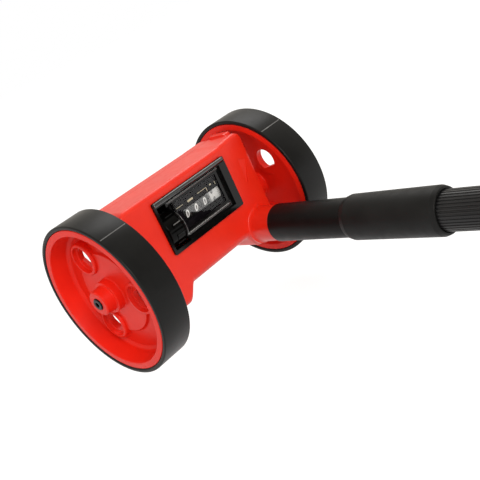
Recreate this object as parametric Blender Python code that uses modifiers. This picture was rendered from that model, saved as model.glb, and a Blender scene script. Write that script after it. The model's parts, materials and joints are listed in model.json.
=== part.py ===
"""Measuring wheel: two tyred wheels on one axle, a drum counter in a moulded housing,
and a telescopic handle. Local frame of the tool: X along the axle, -Y along the handle,
+Z up through the counter. The origin is under the middle of the tool, on the ground."""

import math

import bmesh
import bpy
from mathutils import Matrix, Vector

MM = 0.001

# Clearances and cutting
GAP = 0.3 * MM
WELD_DISTANCE = 0.00001
CUT_OVERRUN = 2.0 * MM
UNION_SINK = 0.6 * MM

# Facets round a turn
TYRE_STEPS = 48
HUB_STEPS = 30
TUBE_STEPS = 20
POCKET_STEPS = 12
SMALL_STEPS = 10
CORNER_STEPS = 3
SHARP_ANGLE = math.radians(32)

# Tyres
TYRE_RADIUS = 53.05 * MM
TYRE_WIDTH = 22.0 * MM
TYRE_SPACING = 122.3 * MM
TYRE_THICKNESS = 2.9 * MM
TYRE_EDGE = 0.8 * MM
TYRE_LIP = 0.6 * MM

# Wheel hubs, with depths measured inward from the tyre's outer face
RIM_RECESS = 0.4 * MM
RIM_WALL = 4.3 * MM
RIM_DRAFT = 0.8 * MM
FLOOR_DEPTH = 13.7 * MM
FLOOR_INSET = 3.45 * MM
FLOOR_FILLET = 1.9 * MM
WEB_WALL = 2.5 * MM
PLATEAU_PAST_POCKETS = 0.6 * MM
PLATEAU_DEPTH = 10.2 * MM
PLATEAU_HEIGHT = 1.8 * MM
HUB_FOOT_RADIUS = 10.8 * MM
HUB_FOOT_DEPTH = 4.8 * MM
HUB_BOSS_RADIUS = 8.8 * MM
HUB_BOSS_TIP_RADIUS = 8.2 * MM
HUB_BOSS_PROUD = 2.2 * MM
HUB_TIP_ROUND = 0.8 * MM
INNER_BOSS_RADIUS = 9.5 * MM
POCKET_PLACE_SHARE = 0.5253
POCKET_SIZE_SHARE = 0.2911
POCKET_RIM = 2.1 * MM
POCKET_RIM_DEPTH = 8.2 * MM
POCKET_DEPTH = 11.6 * MM
POCKET_BACK_DEPTH = 14.3 * MM
HOLE_LEDGE = 1.3 * MM
HOLE_FLAT_CUT = 2.3 * MM
HOLE_FLAT_TURN = math.radians(120)
POCKETS = 3
FILLET_SHARE = 0.29
LEFT_TURN = math.radians(24.6)
RIGHT_TURN = math.radians(-130.3)

# Axle, bushes, washers and wheel screws
AXLE_RADIUS = 2.5 * MM
BUSH_RADIUS = 5.0 * MM
BUSH_FLANGE_RADIUS = 7.0 * MM
BUSH_FLANGE_WIDTH = 1.2 * MM
BUSH_LENGTH = 7.0 * MM
WASHER_RADIUS = 6.0 * MM
WASHER_WIDTH = 1.0 * MM
WHEEL_SCREW_HEAD_RADIUS = 3.7 * MM
WHEEL_SCREW_HEAD_HEIGHT = 3.2 * MM
WHEEL_SCREW_PROUD = 0.8 * MM
WHEEL_SCREW_SHANK_RADIUS = 1.4 * MM
WHEEL_SCREW_SHANK_LENGTH = 12.0 * MM
HEX_SIDES = 6
HEX_RADIUS = 1.9 * MM
HEX_DEPTH = 1.9 * MM
AXLE_INSET = 3.4 * MM

# Housing
BODY_LENGTH = 113.0 * MM
BODY_FRONT = 20.2 * MM
BODY_BACK = 22.3 * MM
BODY_TOP = 44.0 * MM
BODY_BOTTOM = 21.6 * MM
TOP_SWELL = 2.0 * MM
SWELL_START_INSET = 24.5 * MM
SWELL_END_INSET = 11.5 * MM
FLARE_DROP = 10.0 * MM
FLARE_START_INSET = 29.7 * MM
FLARE_END_INSET = 19.7 * MM
FLARE_STEPS = 4
CORNER_FRONT_TOP = 3.0 * MM
CORNER_BACK_TOP = 6.0 * MM
CORNER_BACK_BOTTOM = 6.0 * MM
CORNER_FRONT_BOTTOM = 6.0 * MM
END_ROUND = 5.0 * MM
END_ROUND_FRONT_SHARE = 0.12
INNER_CORNER_SHARE = 0.3
WALL = 2.5 * MM
END_WALL = 3.0 * MM
PARTING = 8.0 * MM
BUSH_BOSS_RADIUS = 7.4 * MM
BUSH_BOSS_LENGTH = 4.5 * MM
MOULD_RECESS_INSET = 10.7 * MM
MOULD_RECESS_WIDTH = 6.8 * MM
MOULD_RECESS_LOW = 10.8 * MM
MOULD_RECESS_HIGH = 29.3 * MM
MOULD_RECESS_SLOPE = 2.4 * MM
MOULD_RECESS_DEPTH = 0.9 * MM
SHOULDER_INSET = 0.4 * MM
SHOULDER_WIDTH = 5.2 * MM
SHOULDER_FRONT = 12.0 * MM
SHOULDER_LENGTH = 16.0 * MM
SHOULDER_TOP = 46.8 * MM
SHOULDER_ROUND = 1.2 * MM

# Cover screws
SCREW_INSET_TOP = 10.5 * MM
SCREW_Z_TOP = 36.0 * MM
SCREW_INSET_LOW = 26.5 * MM
SCREW_Z_LOW = 13.5 * MM
SCREW_BOSS_RADIUS = 3.7 * MM
SCREW_SHANK_RADIUS = 1.4 * MM
SCREW_LENGTH = 18.0 * MM
SCREW_HEAD_RADIUS = 2.9 * MM
SCREW_HEAD_HEIGHT = 1.8 * MM
SCREW_HEAD_SINK = 3.2 * MM
SCREW_SOCKET_RADIUS = 1.5 * MM
SCREW_SOCKET_DEPTH = 1.0 * MM

# Counter bezel, window and label
BEZEL_WIDTH = 66.8 * MM
BEZEL_HEIGHT = 36.2 * MM
BEZEL_CENTRE_Z = 20.2 * MM
BEZEL_FLANGE = 1.5 * MM
BEZEL_CORNER = 2.4 * MM
BEZEL_BAR_RADIUS = 1.7 * MM
BEZEL_BAR_DROP = 2.0 * MM
BEZEL_BAR_INSET = 1.6 * MM
BEZEL_LIP = 1.3 * MM
BEZEL_SIDE_LIP = 2.3 * MM
BEZEL_DEPTH = 6.4 * MM
RECESS_LEFT_SHARE = 0.3293
RECESS_RIGHT_SHARE = 0.4102
RECESS_LOW = 6.4 * MM
RECESS_HIGH = 34.0 * MM
RECESS_DEPTH = 1.5 * MM
VIEW_LEFT_SHARE = 0.2455
VIEW_RIGHT_SHARE = 0.3533
VIEW_LOW = 10.0 * MM
VIEW_HIGH = 29.6 * MM
WINDOW_THICKNESS = 1.2 * MM
WINDOW_BORDER = 1.0 * MM
LABEL_THICKNESS = 0.4 * MM
LABEL_SLOT_LOW = 14.9 * MM
LABEL_SLOT_HIGH = 21.9 * MM
LABEL_SLOT_LEFT_SHARE = 0.1707

# Drum counter
SHAFT_P = 6.4 * MM
SHAFT_Q = 18.2 * MM
SHAFT_RADIUS = 1.5 * MM
DRUM_RADIUS = 10.2 * MM
DRUM_PITCH_SHARE = 0.1247
DRUM_FIRST_SHARE = -0.1602
DRUM_FACE_SHARE = 0.0838
UNITS_FACE_SHARE = 0.1377
DRUM_RIM_WALL = 1.6 * MM
DRUM_DISH = 1.2 * MM
DRUM_HUB_RADIUS = 4.0 * MM
DRUMS = 4
TOOTH_MODULE = 0.8 * MM
RING_TEETH = 20
PINION_TEETH = 8
PINION_WIDTH = 1.8 * MM
PINION_BEARING = math.radians(130)
PINION_SHAFT_RADIUS = 1.0 * MM
FRAME_PLATE = 1.4 * MM
FRAME_RIGHT_PLATE = 2.0 * MM
FRAME_LOW = 3.8 * MM
FRAME_HIGH = 31.0 * MM
FRAME_BACK = 7.0 * MM
FRAME_TAIL = 12.6 * MM
FRAME_BACK_LOW = 12.0 * MM

# Reset thumbwheel
THUMB_P = 11.7 * MM
THUMB_Q = 15.4 * MM
THUMB_RADIUS = 12.2 * MM
THUMB_LEFT_SHARE = 0.464
THUMB_RIGHT_SHARE = 0.2695
THUMB_SLOT_LOW = 4.6 * MM
THUMB_CLEARANCE = 0.5 * MM
THUMB_PIN_RADIUS = 1.5 * MM
THUMB_HUB_RADIUS = 4.0 * MM
THUMB_RIM = 1.3 * MM
THUMB_GROOVE = 0.9 * MM
THUMB_RIBS = 14
THUMB_RIB_SHARE = 0.2

# Gear train from the axle to the units drum
AXLE_TEETH = 12
IDLER_LARGE_TEETH = 24
IDLER_SMALL_TEETH = 16
COUNTER_TEETH = 24
COUNTER_GEAR_OFFSET = 5.9 * MM
COUNTER_GEAR_WIDTH = 3.0 * MM
DRIVE_GEAR_WIDTH = 3.4 * MM
GEAR_SPACING = 1.0 * MM
IDLER_PIN_RADIUS = 1.5 * MM
ADDENDUM_SHARE = 0.8
DEDENDUM_SHARE = 1.15
TOOTH_ROOT_SHARE = 0.62
TOOTH_TIP_SHARE = 0.26
IDLER_PIN_HEAD = 0.8 * MM

# Handle
HANDLE_INSET = 14.1 * MM
HANDLE_DROP = 18.5 * MM
NECK_END = 37.3 * MM
NECK_RADIUS = 12.1 * MM
NECK_FOOT_RADIUS = 13.5 * MM
NECK_FILLET = 4.0 * MM
SPIGOT_RADIUS = 10.3 * MM
SPIGOT_LENGTH = 24.0 * MM
LOWER_TUBE_RADIUS = 12.75 * MM
LOWER_TUBE_TOP_RADIUS = 12.45 * MM
LOWER_TUBE_BORE = 10.7 * MM
LOWER_TUBE_END = 122.0 * MM
COLLAR_START = 100.8 * MM
COLLAR_END = 168.7 * MM
COLLAR_RADIUS = 14.3 * MM
COLLAR_TOP_RADIUS = 14.6 * MM
COLLAR_SHOULDER = 3.2 * MM
COLLAR_LIP = 1.1 * MM
RIBBED_RADIUS = 11.95 * MM
RIBBED_BORE = 10.0 * MM
RIBBED_END = 336.0 * MM
RIB_COUNT = 24
RIB_DEPTH = 0.35 * MM
RIB_SHARES = (0.0, 0.5, 0.65, 0.85)
MIDDLE_RADIUS = 9.5 * MM
MIDDLE_BORE = 8.2 * MM
MIDDLE_START = 66.0 * MM
MIDDLE_END = 366.0 * MM
INNER_RADIUS = 7.6 * MM
INNER_BORE = 6.4 * MM
INNER_START = 70.0 * MM
LOWER_LOCK_START = 322.0 * MM
LOWER_LOCK_END = 350.0 * MM
LOWER_LOCK_RADIUS = 14.0 * MM
UPPER_LOCK_START = 351.0 * MM
UPPER_LOCK_END = 376.0 * MM
UPPER_LOCK_RADIUS = 12.0 * MM
LOCK_SHOULDER = 2.0 * MM
LOCK_FLUTES = 6
LOCK_FLUTE_RADIUS = 2.2 * MM
LOCK_FLUTE_DEPTH = 0.7 * MM
LOCK_FLUTE_INSET = 4.0 * MM
GRIP_START = 378.0 * MM
GRIP_END = 480.0 * MM
GRIP_RADIUS = 13.6 * MM
GRIP_COLLAR = 5.0 * MM
GRIP_GROOVES = 4
GRIP_GROOVE_DEPTH = 0.7 * MM
GRIP_GROOVE_SHARES = (0.0, 0.25, 0.5)
CAP_RADIUS = 12.6 * MM
CAP_LENGTH = 4.0 * MM
CAP_ROUND = 1.2 * MM
CAP_PLUG_LENGTH = 10.0 * MM

# Places worked out from the sizes
TYRE_INNER = TYRE_SPACING / 2
TYRE_OUTER = TYRE_INNER + TYRE_WIDTH
SEAT_RADIUS = TYRE_RADIUS - TYRE_THICKNESS
HUB_TIP = TYRE_OUTER + HUB_BOSS_PROUD
BODY_HALF = BODY_LENGTH / 2
FLARE_START = BODY_HALF - FLARE_START_INSET
FLARE_END = BODY_HALF - FLARE_END_INSET
SWELL_START = BODY_HALF - SWELL_START_INSET
SWELL_END = BODY_HALF - SWELL_END_INSET
HANDLE_X = BODY_HALF - HANDLE_INSET
SCREW_X_TOP = BODY_HALF - SCREW_INSET_TOP
SCREW_X_LOW = BODY_HALF - SCREW_INSET_LOW
RIM_INNER = SEAT_RADIUS - RIM_WALL
FLOOR_RADIUS = RIM_INNER - FLOOR_INSET
POCKET_SPAN = FLOOR_RADIUS - HUB_FOOT_RADIUS
POCKET_CIRCLE = HUB_FOOT_RADIUS + POCKET_PLACE_SHARE * POCKET_SPAN
POCKET_RADIUS = POCKET_SIZE_SHARE * POCKET_SPAN
HOLE_RADIUS = POCKET_RADIUS - HOLE_LEDGE
HOLE_FLAT = HOLE_RADIUS - HOLE_FLAT_CUT
PLATEAU_RADIUS = POCKET_CIRCLE + PLATEAU_PAST_POCKETS
BUSH_FACE = BODY_HALF + GAP + BUSH_FLANGE_WIDTH
WASHER_FACE = BUSH_FACE + GAP + WASHER_WIDTH
HUB_INNER_FACE = WASHER_FACE + GAP
BEZEL_BACK = BODY_FRONT + GAP + BEZEL_FLANGE - BEZEL_DEPTH
BEZEL_FACE = BODY_FRONT + GAP + BEZEL_FLANGE
BEZEL_LOW = BEZEL_CENTRE_Z - BEZEL_HEIGHT / 2
BEZEL_HIGH = BEZEL_CENTRE_Z + BEZEL_HEIGHT / 2
RECESS_LEFT = BEZEL_WIDTH * RECESS_LEFT_SHARE
RECESS_RIGHT = BEZEL_WIDTH * RECESS_RIGHT_SHARE
VIEW_LEFT = BEZEL_WIDTH * VIEW_LEFT_SHARE
VIEW_RIGHT = BEZEL_WIDTH * VIEW_RIGHT_SHARE
LABEL_SLOT_LEFT = BEZEL_WIDTH * LABEL_SLOT_LEFT_SHARE
DRUM_PITCH = BEZEL_WIDTH * DRUM_PITCH_SHARE
DRUM_FIRST = BEZEL_WIDTH * DRUM_FIRST_SHARE
DRUM_FACE = BEZEL_WIDTH * DRUM_FACE_SHARE
UNITS_FACE = BEZEL_WIDTH * UNITS_FACE_SHARE
THUMB_LEFT = BEZEL_WIDTH * THUMB_LEFT_SHARE
THUMB_RIGHT = BEZEL_WIDTH * THUMB_RIGHT_SHARE
DRUM_FRONT = SHAFT_P + DRUM_RADIUS
LABEL_BACK = DRUM_FRONT + GAP
WINDOW_BACK = LABEL_BACK + LABEL_THICKNESS + GAP
WINDOW_SEAT = WINDOW_BACK + WINDOW_THICKNESS + GAP
PITCH_RADIUS_SHARE = 0.5
COVER_SCREWS = (
    (-SCREW_X_TOP, SCREW_Z_TOP),
    (SCREW_X_TOP, SCREW_Z_TOP),
    (-SCREW_X_LOW, -SCREW_Z_LOW),
    (SCREW_X_LOW, -SCREW_Z_LOW),
)


def handle_tilt():
    """Angle at which the grip's lower edge meets the ground that the tyres stand on."""
    reach = GRIP_END - GRIP_COLLAR / 2
    drop = HANDLE_DROP + GRIP_RADIUS
    return math.asin(TYRE_RADIUS / math.hypot(reach, drop)) - math.atan2(drop, reach)


def clear_scene():
    for item in list(bpy.data.objects):
        bpy.data.objects.remove(item, do_unlink=True)


clear_scene()
PARTS = bpy.data.collections.new("measuring_wheel")
CUTTERS = bpy.data.collections.new("cutters")
bpy.context.scene.collection.children.link(PARTS)
bpy.context.scene.collection.children.link(CUTTERS)


def material(name, colour, roughness, metallic=0.0):
    made = bpy.data.materials.new(name)
    made.use_nodes = True
    shader = made.node_tree.nodes["Principled BSDF"]
    shader.inputs["Base Color"].default_value = (*colour, 1.0)
    shader.inputs["Roughness"].default_value = roughness
    shader.inputs["Metallic"].default_value = metallic
    return made


RED = material("red_plastic", (0.78, 0.03, 0.015), 0.38)
BLACK = material("black_plastic", (0.012, 0.012, 0.013), 0.4)
GLOSS_BLACK = material("gloss_black_plastic", (0.008, 0.008, 0.009), 0.18)
RUBBER = material("tyre_rubber", (0.02, 0.02, 0.021), 0.62)
STEEL = material("steel", (0.55, 0.55, 0.56), 0.3, 1.0)
DARK_STEEL = material("blackened_steel", (0.04, 0.04, 0.045), 0.4, 1.0)
BRONZE = material("bush_bronze", (0.5, 0.33, 0.16), 0.4, 1.0)
NYLON = material("white_nylon", (0.72, 0.72, 0.68), 0.45)
DRUM_GREY = material("drum_grey", (0.12, 0.12, 0.13), 0.4)
DRUM_WHITE = material("drum_white", (0.75, 0.75, 0.73), 0.4)
CLEAR = material("clear_plastic", (0.7, 0.72, 0.73), 0.05)
ALUMINIUM = material("black_aluminium", (0.03, 0.03, 0.032), 0.35, 0.6)


def empty(name, location, rotation, parent=None):
    made = bpy.data.objects.new(name, None)
    PARTS.objects.link(made)
    made.location = location
    made.rotation_euler = rotation
    made.parent = parent
    return made


def place(name, mesh, parent, look=None, location=(0, 0, 0), cutter=False):
    """Put a mesh in the scene as a part, or as a hidden cutter."""
    made = bpy.data.objects.new(name, mesh)
    home = CUTTERS if cutter else PARTS
    home.objects.link(made)
    made.parent = parent
    made.location = location
    if cutter:
        made.hide_render = True
        made.display_type = "WIRE"
    else:
        mesh.materials.clear()
        mesh.materials.append(look)
    return made


def boolean(target, tool, operation, solver="EXACT"):
    step = target.modifiers.new(tool.name, "BOOLEAN")
    step.operation = operation
    step.solver = solver
    step.object = tool


def round_shade(mesh):
    mesh.shade_smooth()
    mesh.set_sharp_from_angle(angle=SHARP_ANGLE)


def signed_area(points):
    total = 0.0
    for (x0, y0), (x1, y1) in zip(points, points[1:] + points[:1]):
        total += x0 * y1 - x1 * y0
    return total / 2


def profile_mesh(name, points, closed):
    """Chain of edges in the XZ plane, running down its outer side."""
    if signed_area(points) > 0:
        points = list(reversed(points))
    mesh = bpy.data.meshes.new(name)
    edges = [(index, index + 1) for index in range(len(points) - 1)]
    if closed:
        edges.append((len(points) - 1, 0))
    mesh.from_pydata([(radius, 0.0, height) for radius, height in points], edges, [])
    return mesh


def turned(name, points, parent, look=None, steps=TUBE_STEPS, cutter=False, location=(0, 0, 0)):
    """Solid of revolution about local Z from (radius, height) points."""
    on_axis = any(radius == 0 for radius, height in points)
    made = place(name, profile_mesh(name, points, not on_axis), parent, look, location, cutter)
    screw = made.modifiers.new("turn", "SCREW")
    screw.axis = "Z"
    screw.angle = 2 * math.pi
    screw.steps = steps
    screw.render_steps = steps
    screw.use_merge_vertices = True
    screw.merge_threshold = WELD_DISTANCE
    screw.use_smooth_shade = False
    return made


def circle(radius, steps, centre=(0.0, 0.0)):
    points = []
    for index in range(steps):
        angle = 2 * math.pi * index / steps
        points.append((centre[0] + radius * math.cos(angle), centre[1] + radius * math.sin(angle)))
    return points


def outline_mesh(name, loops, low, high):
    """Flat outline, with any holes, extruded from low to high along local Z."""
    curve = bpy.data.curves.new(name, "CURVE")
    curve.dimensions = "2D"
    curve.fill_mode = "BOTH"
    curve.extrude = (high - low) / 2
    for loop in loops:
        spline = curve.splines.new("POLY")
        spline.points.add(len(loop) - 1)
        for point, (x, y) in zip(spline.points, loop):
            point.co = (x, y, 0.0, 1.0)
        spline.use_cyclic_u = True
    holder = bpy.data.objects.new(name, curve)
    CUTTERS.objects.link(holder)
    graph = bpy.context.evaluated_depsgraph_get()
    mesh = bpy.data.meshes.new_from_object(holder.evaluated_get(graph))
    bpy.data.objects.remove(holder, do_unlink=True)
    bpy.data.curves.remove(curve)
    work = bmesh.new()
    work.from_mesh(mesh)
    bmesh.ops.remove_doubles(work, verts=work.verts, dist=WELD_DISTANCE)
    bmesh.ops.translate(work, verts=work.verts, vec=(0.0, 0.0, (high + low) / 2))
    bmesh.ops.recalc_face_normals(work, faces=work.faces)
    work.to_mesh(mesh)
    work.free()
    mesh.name = name
    return mesh


def outline(name, loops, low, high, parent, look=None, cutter=False, location=(0, 0, 0)):
    return place(name, outline_mesh(name, loops, low, high), parent, look, location, cutter)


def box_mesh(name, low, high):
    work = bmesh.new()
    bmesh.ops.create_cube(work, size=1.0)
    size = [upper - lower for lower, upper in zip(low, high)]
    middle = [(upper + lower) / 2 for lower, upper in zip(low, high)]
    stretch = Matrix.Translation(middle) @ Matrix.Diagonal((*size, 1.0))
    bmesh.ops.transform(work, matrix=stretch, verts=work.verts)
    mesh = bpy.data.meshes.new(name)
    work.to_mesh(mesh)
    work.free()
    return mesh


def box(name, low, high, parent, look=None, cutter=False):
    return place(name, box_mesh(name, low, high), parent, look, cutter=cutter)


def soften(target, width, segments=2, angle=SHARP_ANGLE):
    edge = target.modifiers.new("soften", "BEVEL")
    edge.width = width
    edge.segments = segments
    edge.limit_method = "ANGLE"
    edge.angle_limit = angle


def rounded_rectangle(left, right, low, high, radius, steps=CORNER_STEPS):
    corners = (
        (right - radius, high - radius, 0.0),
        (left + radius, high - radius, 0.5 * math.pi),
        (left + radius, low + radius, math.pi),
        (right - radius, low + radius, 1.5 * math.pi),
    )
    points = []
    for x, y, start in corners:
        for index in range(steps + 1):
            angle = start + 0.5 * math.pi * index / steps
            points.append((x + radius * math.cos(angle), y + radius * math.sin(angle)))
    return points


def gear_outline(teeth, phase):
    """Spur gear with straight-flanked teeth, one of them centred on the phase angle."""
    pitch_radius = teeth * TOOTH_MODULE * PITCH_RADIUS_SHARE
    tip = pitch_radius + ADDENDUM_SHARE * TOOTH_MODULE
    root = pitch_radius - DEDENDUM_SHARE * TOOTH_MODULE
    step = 2 * math.pi / teeth
    points = []
    for index in range(teeth):
        middle = phase + index * step
        for radius, share in ((root, -TOOTH_ROOT_SHARE), (tip, -TOOTH_TIP_SHARE),
                              (tip, TOOTH_TIP_SHARE), (root, TOOTH_ROOT_SHARE)):
            angle = middle + share * step / 2
            points.append((radius * math.cos(angle), radius * math.sin(angle)))
    return points


def pitch_radius(teeth):
    return teeth * TOOTH_MODULE * PITCH_RADIUS_SHARE


def smooth_step(value):
    value = min(max(value, 0.0), 1.0)
    return value * value * (3 - 2 * value)


# Frames of the tool: the chassis tilts until the grip meets the ground
TILT = handle_tilt()
ALONG_X = (0.0, math.pi / 2, 0.0)
ALONG_MINUS_X = (0.0, -math.pi / 2, 0.0)
ALONG_HANDLE = (math.pi / 2, 0.0, 0.0)
CHASSIS = empty("chassis", (0.0, 0.0, TYRE_RADIUS), (TILT, 0.0, 0.0))
AXLE_LINE = empty("axle_line", (0, 0, 0), ALONG_X, CHASSIS)
LEFT_LINE = empty("left_wheel_line", (0, 0, 0), ALONG_MINUS_X, CHASSIS)
HANDLE_LINE = empty("handle_line", (HANDLE_X, 0.0, -HANDLE_DROP), ALONG_HANDLE, CHASSIS)
DRUM_LINE = empty("drum_line", (0.0, -SHAFT_P, SHAFT_Q), ALONG_X, CHASSIS)
THUMB_LINE = empty("thumbwheel_line", (0.0, -THUMB_P, THUMB_Q), ALONG_X, CHASSIS)


def wheel_profile():
    """Half section of a hub, radius against distance from the middle of the tool."""
    outer_face = TYRE_OUTER - RIM_RECESS
    inner_face = TYRE_INNER + RIM_RECESS
    floor = TYRE_OUTER - FLOOR_DEPTH
    plateau = TYRE_OUTER - PLATEAU_DEPTH
    foot = TYRE_OUTER - HUB_FOOT_DEPTH
    bore = AXLE_RADIUS + GAP
    screw_seat = HUB_TIP + WHEEL_SCREW_PROUD - WHEEL_SCREW_HEAD_HEIGHT - GAP
    counterbore = WHEEL_SCREW_HEAD_RADIUS + GAP
    return [
        (bore, HUB_INNER_FACE),
        (INNER_BOSS_RADIUS, HUB_INNER_FACE),
        (INNER_BOSS_RADIUS, plateau - WEB_WALL),
        (FLOOR_RADIUS, floor - WEB_WALL),
        (RIM_INNER - RIM_DRAFT, floor - WEB_WALL),
        (RIM_INNER, inner_face),
        (SEAT_RADIUS, inner_face),
        (SEAT_RADIUS, outer_face),
        (RIM_INNER, outer_face),
        (FLOOR_RADIUS + FLOOR_FILLET, floor + FLOOR_FILLET),
        (FLOOR_RADIUS + FLOOR_FILLET * FILLET_SHARE, floor + FLOOR_FILLET * FILLET_SHARE),
        (FLOOR_RADIUS, floor),
        (PLATEAU_RADIUS, plateau - PLATEAU_HEIGHT),
        (PLATEAU_RADIUS, plateau),
        (HUB_FOOT_RADIUS, plateau),
        (HUB_FOOT_RADIUS, foot),
        (HUB_BOSS_RADIUS, foot),
        (HUB_BOSS_TIP_RADIUS, HUB_TIP - HUB_TIP_ROUND),
        (HUB_BOSS_TIP_RADIUS - HUB_TIP_ROUND, HUB_TIP),
        (counterbore, HUB_TIP),
        (counterbore, screw_seat),
        (bore, screw_seat),
    ]


def pocket_centre(index):
    angle = 2 * math.pi * index / POCKETS
    return POCKET_CIRCLE * math.cos(angle), POCKET_CIRCLE * math.sin(angle)


def d_hole(index):
    """Round hole with one flat, for the floor of a pocket."""
    x, y = pocket_centre(index)
    toward_flat = 2 * math.pi * index / POCKETS + HOLE_FLAT_TURN
    half = math.acos(HOLE_FLAT / HOLE_RADIUS)
    span = 2 * math.pi - 2 * half
    points = []
    for step in range(POCKET_STEPS):
        turn = toward_flat + half + span * step / (POCKET_STEPS - 1)
        points.append((x + HOLE_RADIUS * math.cos(turn), y + HOLE_RADIUS * math.sin(turn)))
    return points


def make_hub(side, line, turn):
    """Moulded wheel centre: deep rim, coned web, three rimmed pockets with holes, long boss."""
    spin = empty(side + "_hub_spin", (0, 0, 0), (0.0, 0.0, turn), line)
    hub = turned(side + "_wheel_hub", wheel_profile(), spin, RED, HUB_STEPS)
    back = TYRE_OUTER - POCKET_BACK_DEPTH
    floor = TYRE_OUTER - POCKET_DEPTH
    crest = TYRE_OUTER - POCKET_RIM_DEPTH
    for index in range(POCKETS):
        x, y = pocket_centre(index)
        label = side + "_pocket_" + str(index + 1)
        spot = (x, y, 0.0)
        ring = turned(label + "_rim", [
            (0, crest),
            (POCKET_RADIUS + POCKET_RIM, crest),
            (POCKET_RADIUS + POCKET_RIM, back),
            (0, back),
        ], spin, steps=POCKET_STEPS, cutter=True, location=spot)
        boolean(hub, ring, "UNION", "MANIFOLD")
        recess = turned(label, [
            (0, crest + CUT_OVERRUN),
            (POCKET_RADIUS, crest + CUT_OVERRUN),
            (POCKET_RADIUS, floor),
            (0, floor),
        ], spin, steps=POCKET_STEPS, cutter=True, location=spot)
        boolean(hub, recess, "DIFFERENCE", "MANIFOLD")
        hole = outline(label + "_hole", [d_hole(index)], back - CUT_OVERRUN, floor + CUT_OVERRUN,
                       spin, cutter=True)
        boolean(hub, hole, "DIFFERENCE", "MANIFOLD")
    return hub


def tyre_profile():
    low = TYRE_INNER
    high = TYRE_OUTER
    seat = SEAT_RADIUS + GAP
    return [
        (seat, low + TYRE_LIP),
        (seat + TYRE_LIP, low),
        (TYRE_RADIUS - TYRE_EDGE, low),
        (TYRE_RADIUS, low + TYRE_EDGE),
        (TYRE_RADIUS, high - TYRE_EDGE),
        (TYRE_RADIUS - TYRE_EDGE, high),
        (seat + TYRE_LIP, high),
        (seat, high - TYRE_LIP),
    ]


def wheel_screw(side, line):
    """Socket head screw that draws the hub onto the axle end."""
    top = HUB_TIP + WHEEL_SCREW_PROUD
    seat = top - WHEEL_SCREW_HEAD_HEIGHT
    edge = GAP
    screw = turned(side + "_wheel_screw", [
        (0, top),
        (WHEEL_SCREW_HEAD_RADIUS - edge, top),
        (WHEEL_SCREW_HEAD_RADIUS, top - edge),
        (WHEEL_SCREW_HEAD_RADIUS, seat),
        (WHEEL_SCREW_SHANK_RADIUS, seat),
        (WHEEL_SCREW_SHANK_RADIUS, seat - WHEEL_SCREW_SHANK_LENGTH),
        (0, seat - WHEEL_SCREW_SHANK_LENGTH),
    ], line, DARK_STEEL, SMALL_STEPS)
    socket = outline(side + "_socket", [circle(HEX_RADIUS, HEX_SIDES)], top - HEX_DEPTH,
                     top + CUT_OVERRUN, line, cutter=True)
    boolean(screw, socket, "DIFFERENCE")


def make_wheels():
    for side, line, turn in (("left", LEFT_LINE, LEFT_TURN), ("right", AXLE_LINE, RIGHT_TURN)):
        make_hub(side, line, turn)
        turned(side + "_tyre", tyre_profile(), line, RUBBER, TYRE_STEPS)
        wheel_screw(side, line)
        bush_base = BODY_HALF - BUSH_LENGTH
        bore = AXLE_RADIUS + GAP
        turned(side + "_axle_bush", [
            (bore, bush_base),
            (BUSH_RADIUS, bush_base),
            (BUSH_RADIUS, BODY_HALF + GAP),
            (BUSH_FLANGE_RADIUS, BODY_HALF + GAP),
            (BUSH_FLANGE_RADIUS, BUSH_FACE),
            (bore, BUSH_FACE),
        ], line, BRONZE, SMALL_STEPS)
        turned(side + "_thrust_washer", [
            (bore, BUSH_FACE + GAP),
            (WASHER_RADIUS, BUSH_FACE + GAP),
            (WASHER_RADIUS, WASHER_FACE),
            (bore, WASHER_FACE),
        ], line, STEEL, SMALL_STEPS)
    make_axle()


def make_axle():
    """Steel axle with a tapped hole in each end."""
    half = HUB_TIP - AXLE_INSET - GAP
    blind = WHEEL_SCREW_SHANK_LENGTH + GAP
    bore = WHEEL_SCREW_SHANK_RADIUS + GAP
    turned("axle", [
        (0, half - blind),
        (bore, half - blind),
        (bore, half),
        (AXLE_RADIUS, half),
        (AXLE_RADIUS, -half),
        (bore, -half),
        (bore, blind - half),
        (0, blind - half),
    ], AXLE_LINE, STEEL, SMALL_STEPS)


def section(bottom, front_top, wall, rounding):
    """Closed outline of the housing in (y, z), drawn in by the wall and by the end's rounding."""
    inset = wall + rounding
    front_y = -(BODY_FRONT - wall - rounding * END_ROUND_FRONT_SHARE)
    back_y = BODY_BACK - inset
    low = -(bottom - inset)
    corners = (
        (back_y, BODY_TOP - inset, CORNER_BACK_TOP, 0.0),
        (front_y, front_top - inset, CORNER_FRONT_TOP, 0.5 * math.pi),
        (front_y, low, CORNER_FRONT_BOTTOM, math.pi),
        (back_y, low, CORNER_BACK_BOTTOM, 1.5 * math.pi),
    )
    points = []
    for corner_y, corner_z, radius, start in corners:
        radius = max(radius - inset, radius * INNER_CORNER_SHARE)
        centre_y = corner_y + (radius if corner_y < 0 else -radius)
        centre_z = corner_z + (radius if start >= math.pi else -radius)
        for index in range(CORNER_STEPS + 1):
            angle = start + 0.5 * math.pi * index / CORNER_STEPS
            points.append((centre_y + radius * math.cos(angle), centre_z + radius * math.sin(angle)))
    return points


def body_section(x, wall, rounding):
    """Housing section at a distance along the axle, with its flared feet and top swelling."""
    flare = smooth_step((abs(x) - FLARE_START) / (FLARE_END - FLARE_START))
    swell = smooth_step((x - SWELL_START) / (SWELL_END - SWELL_START))
    return section(BODY_BOTTOM + FLARE_DROP * flare, BODY_TOP + TOP_SWELL * swell, wall, rounding)


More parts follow.
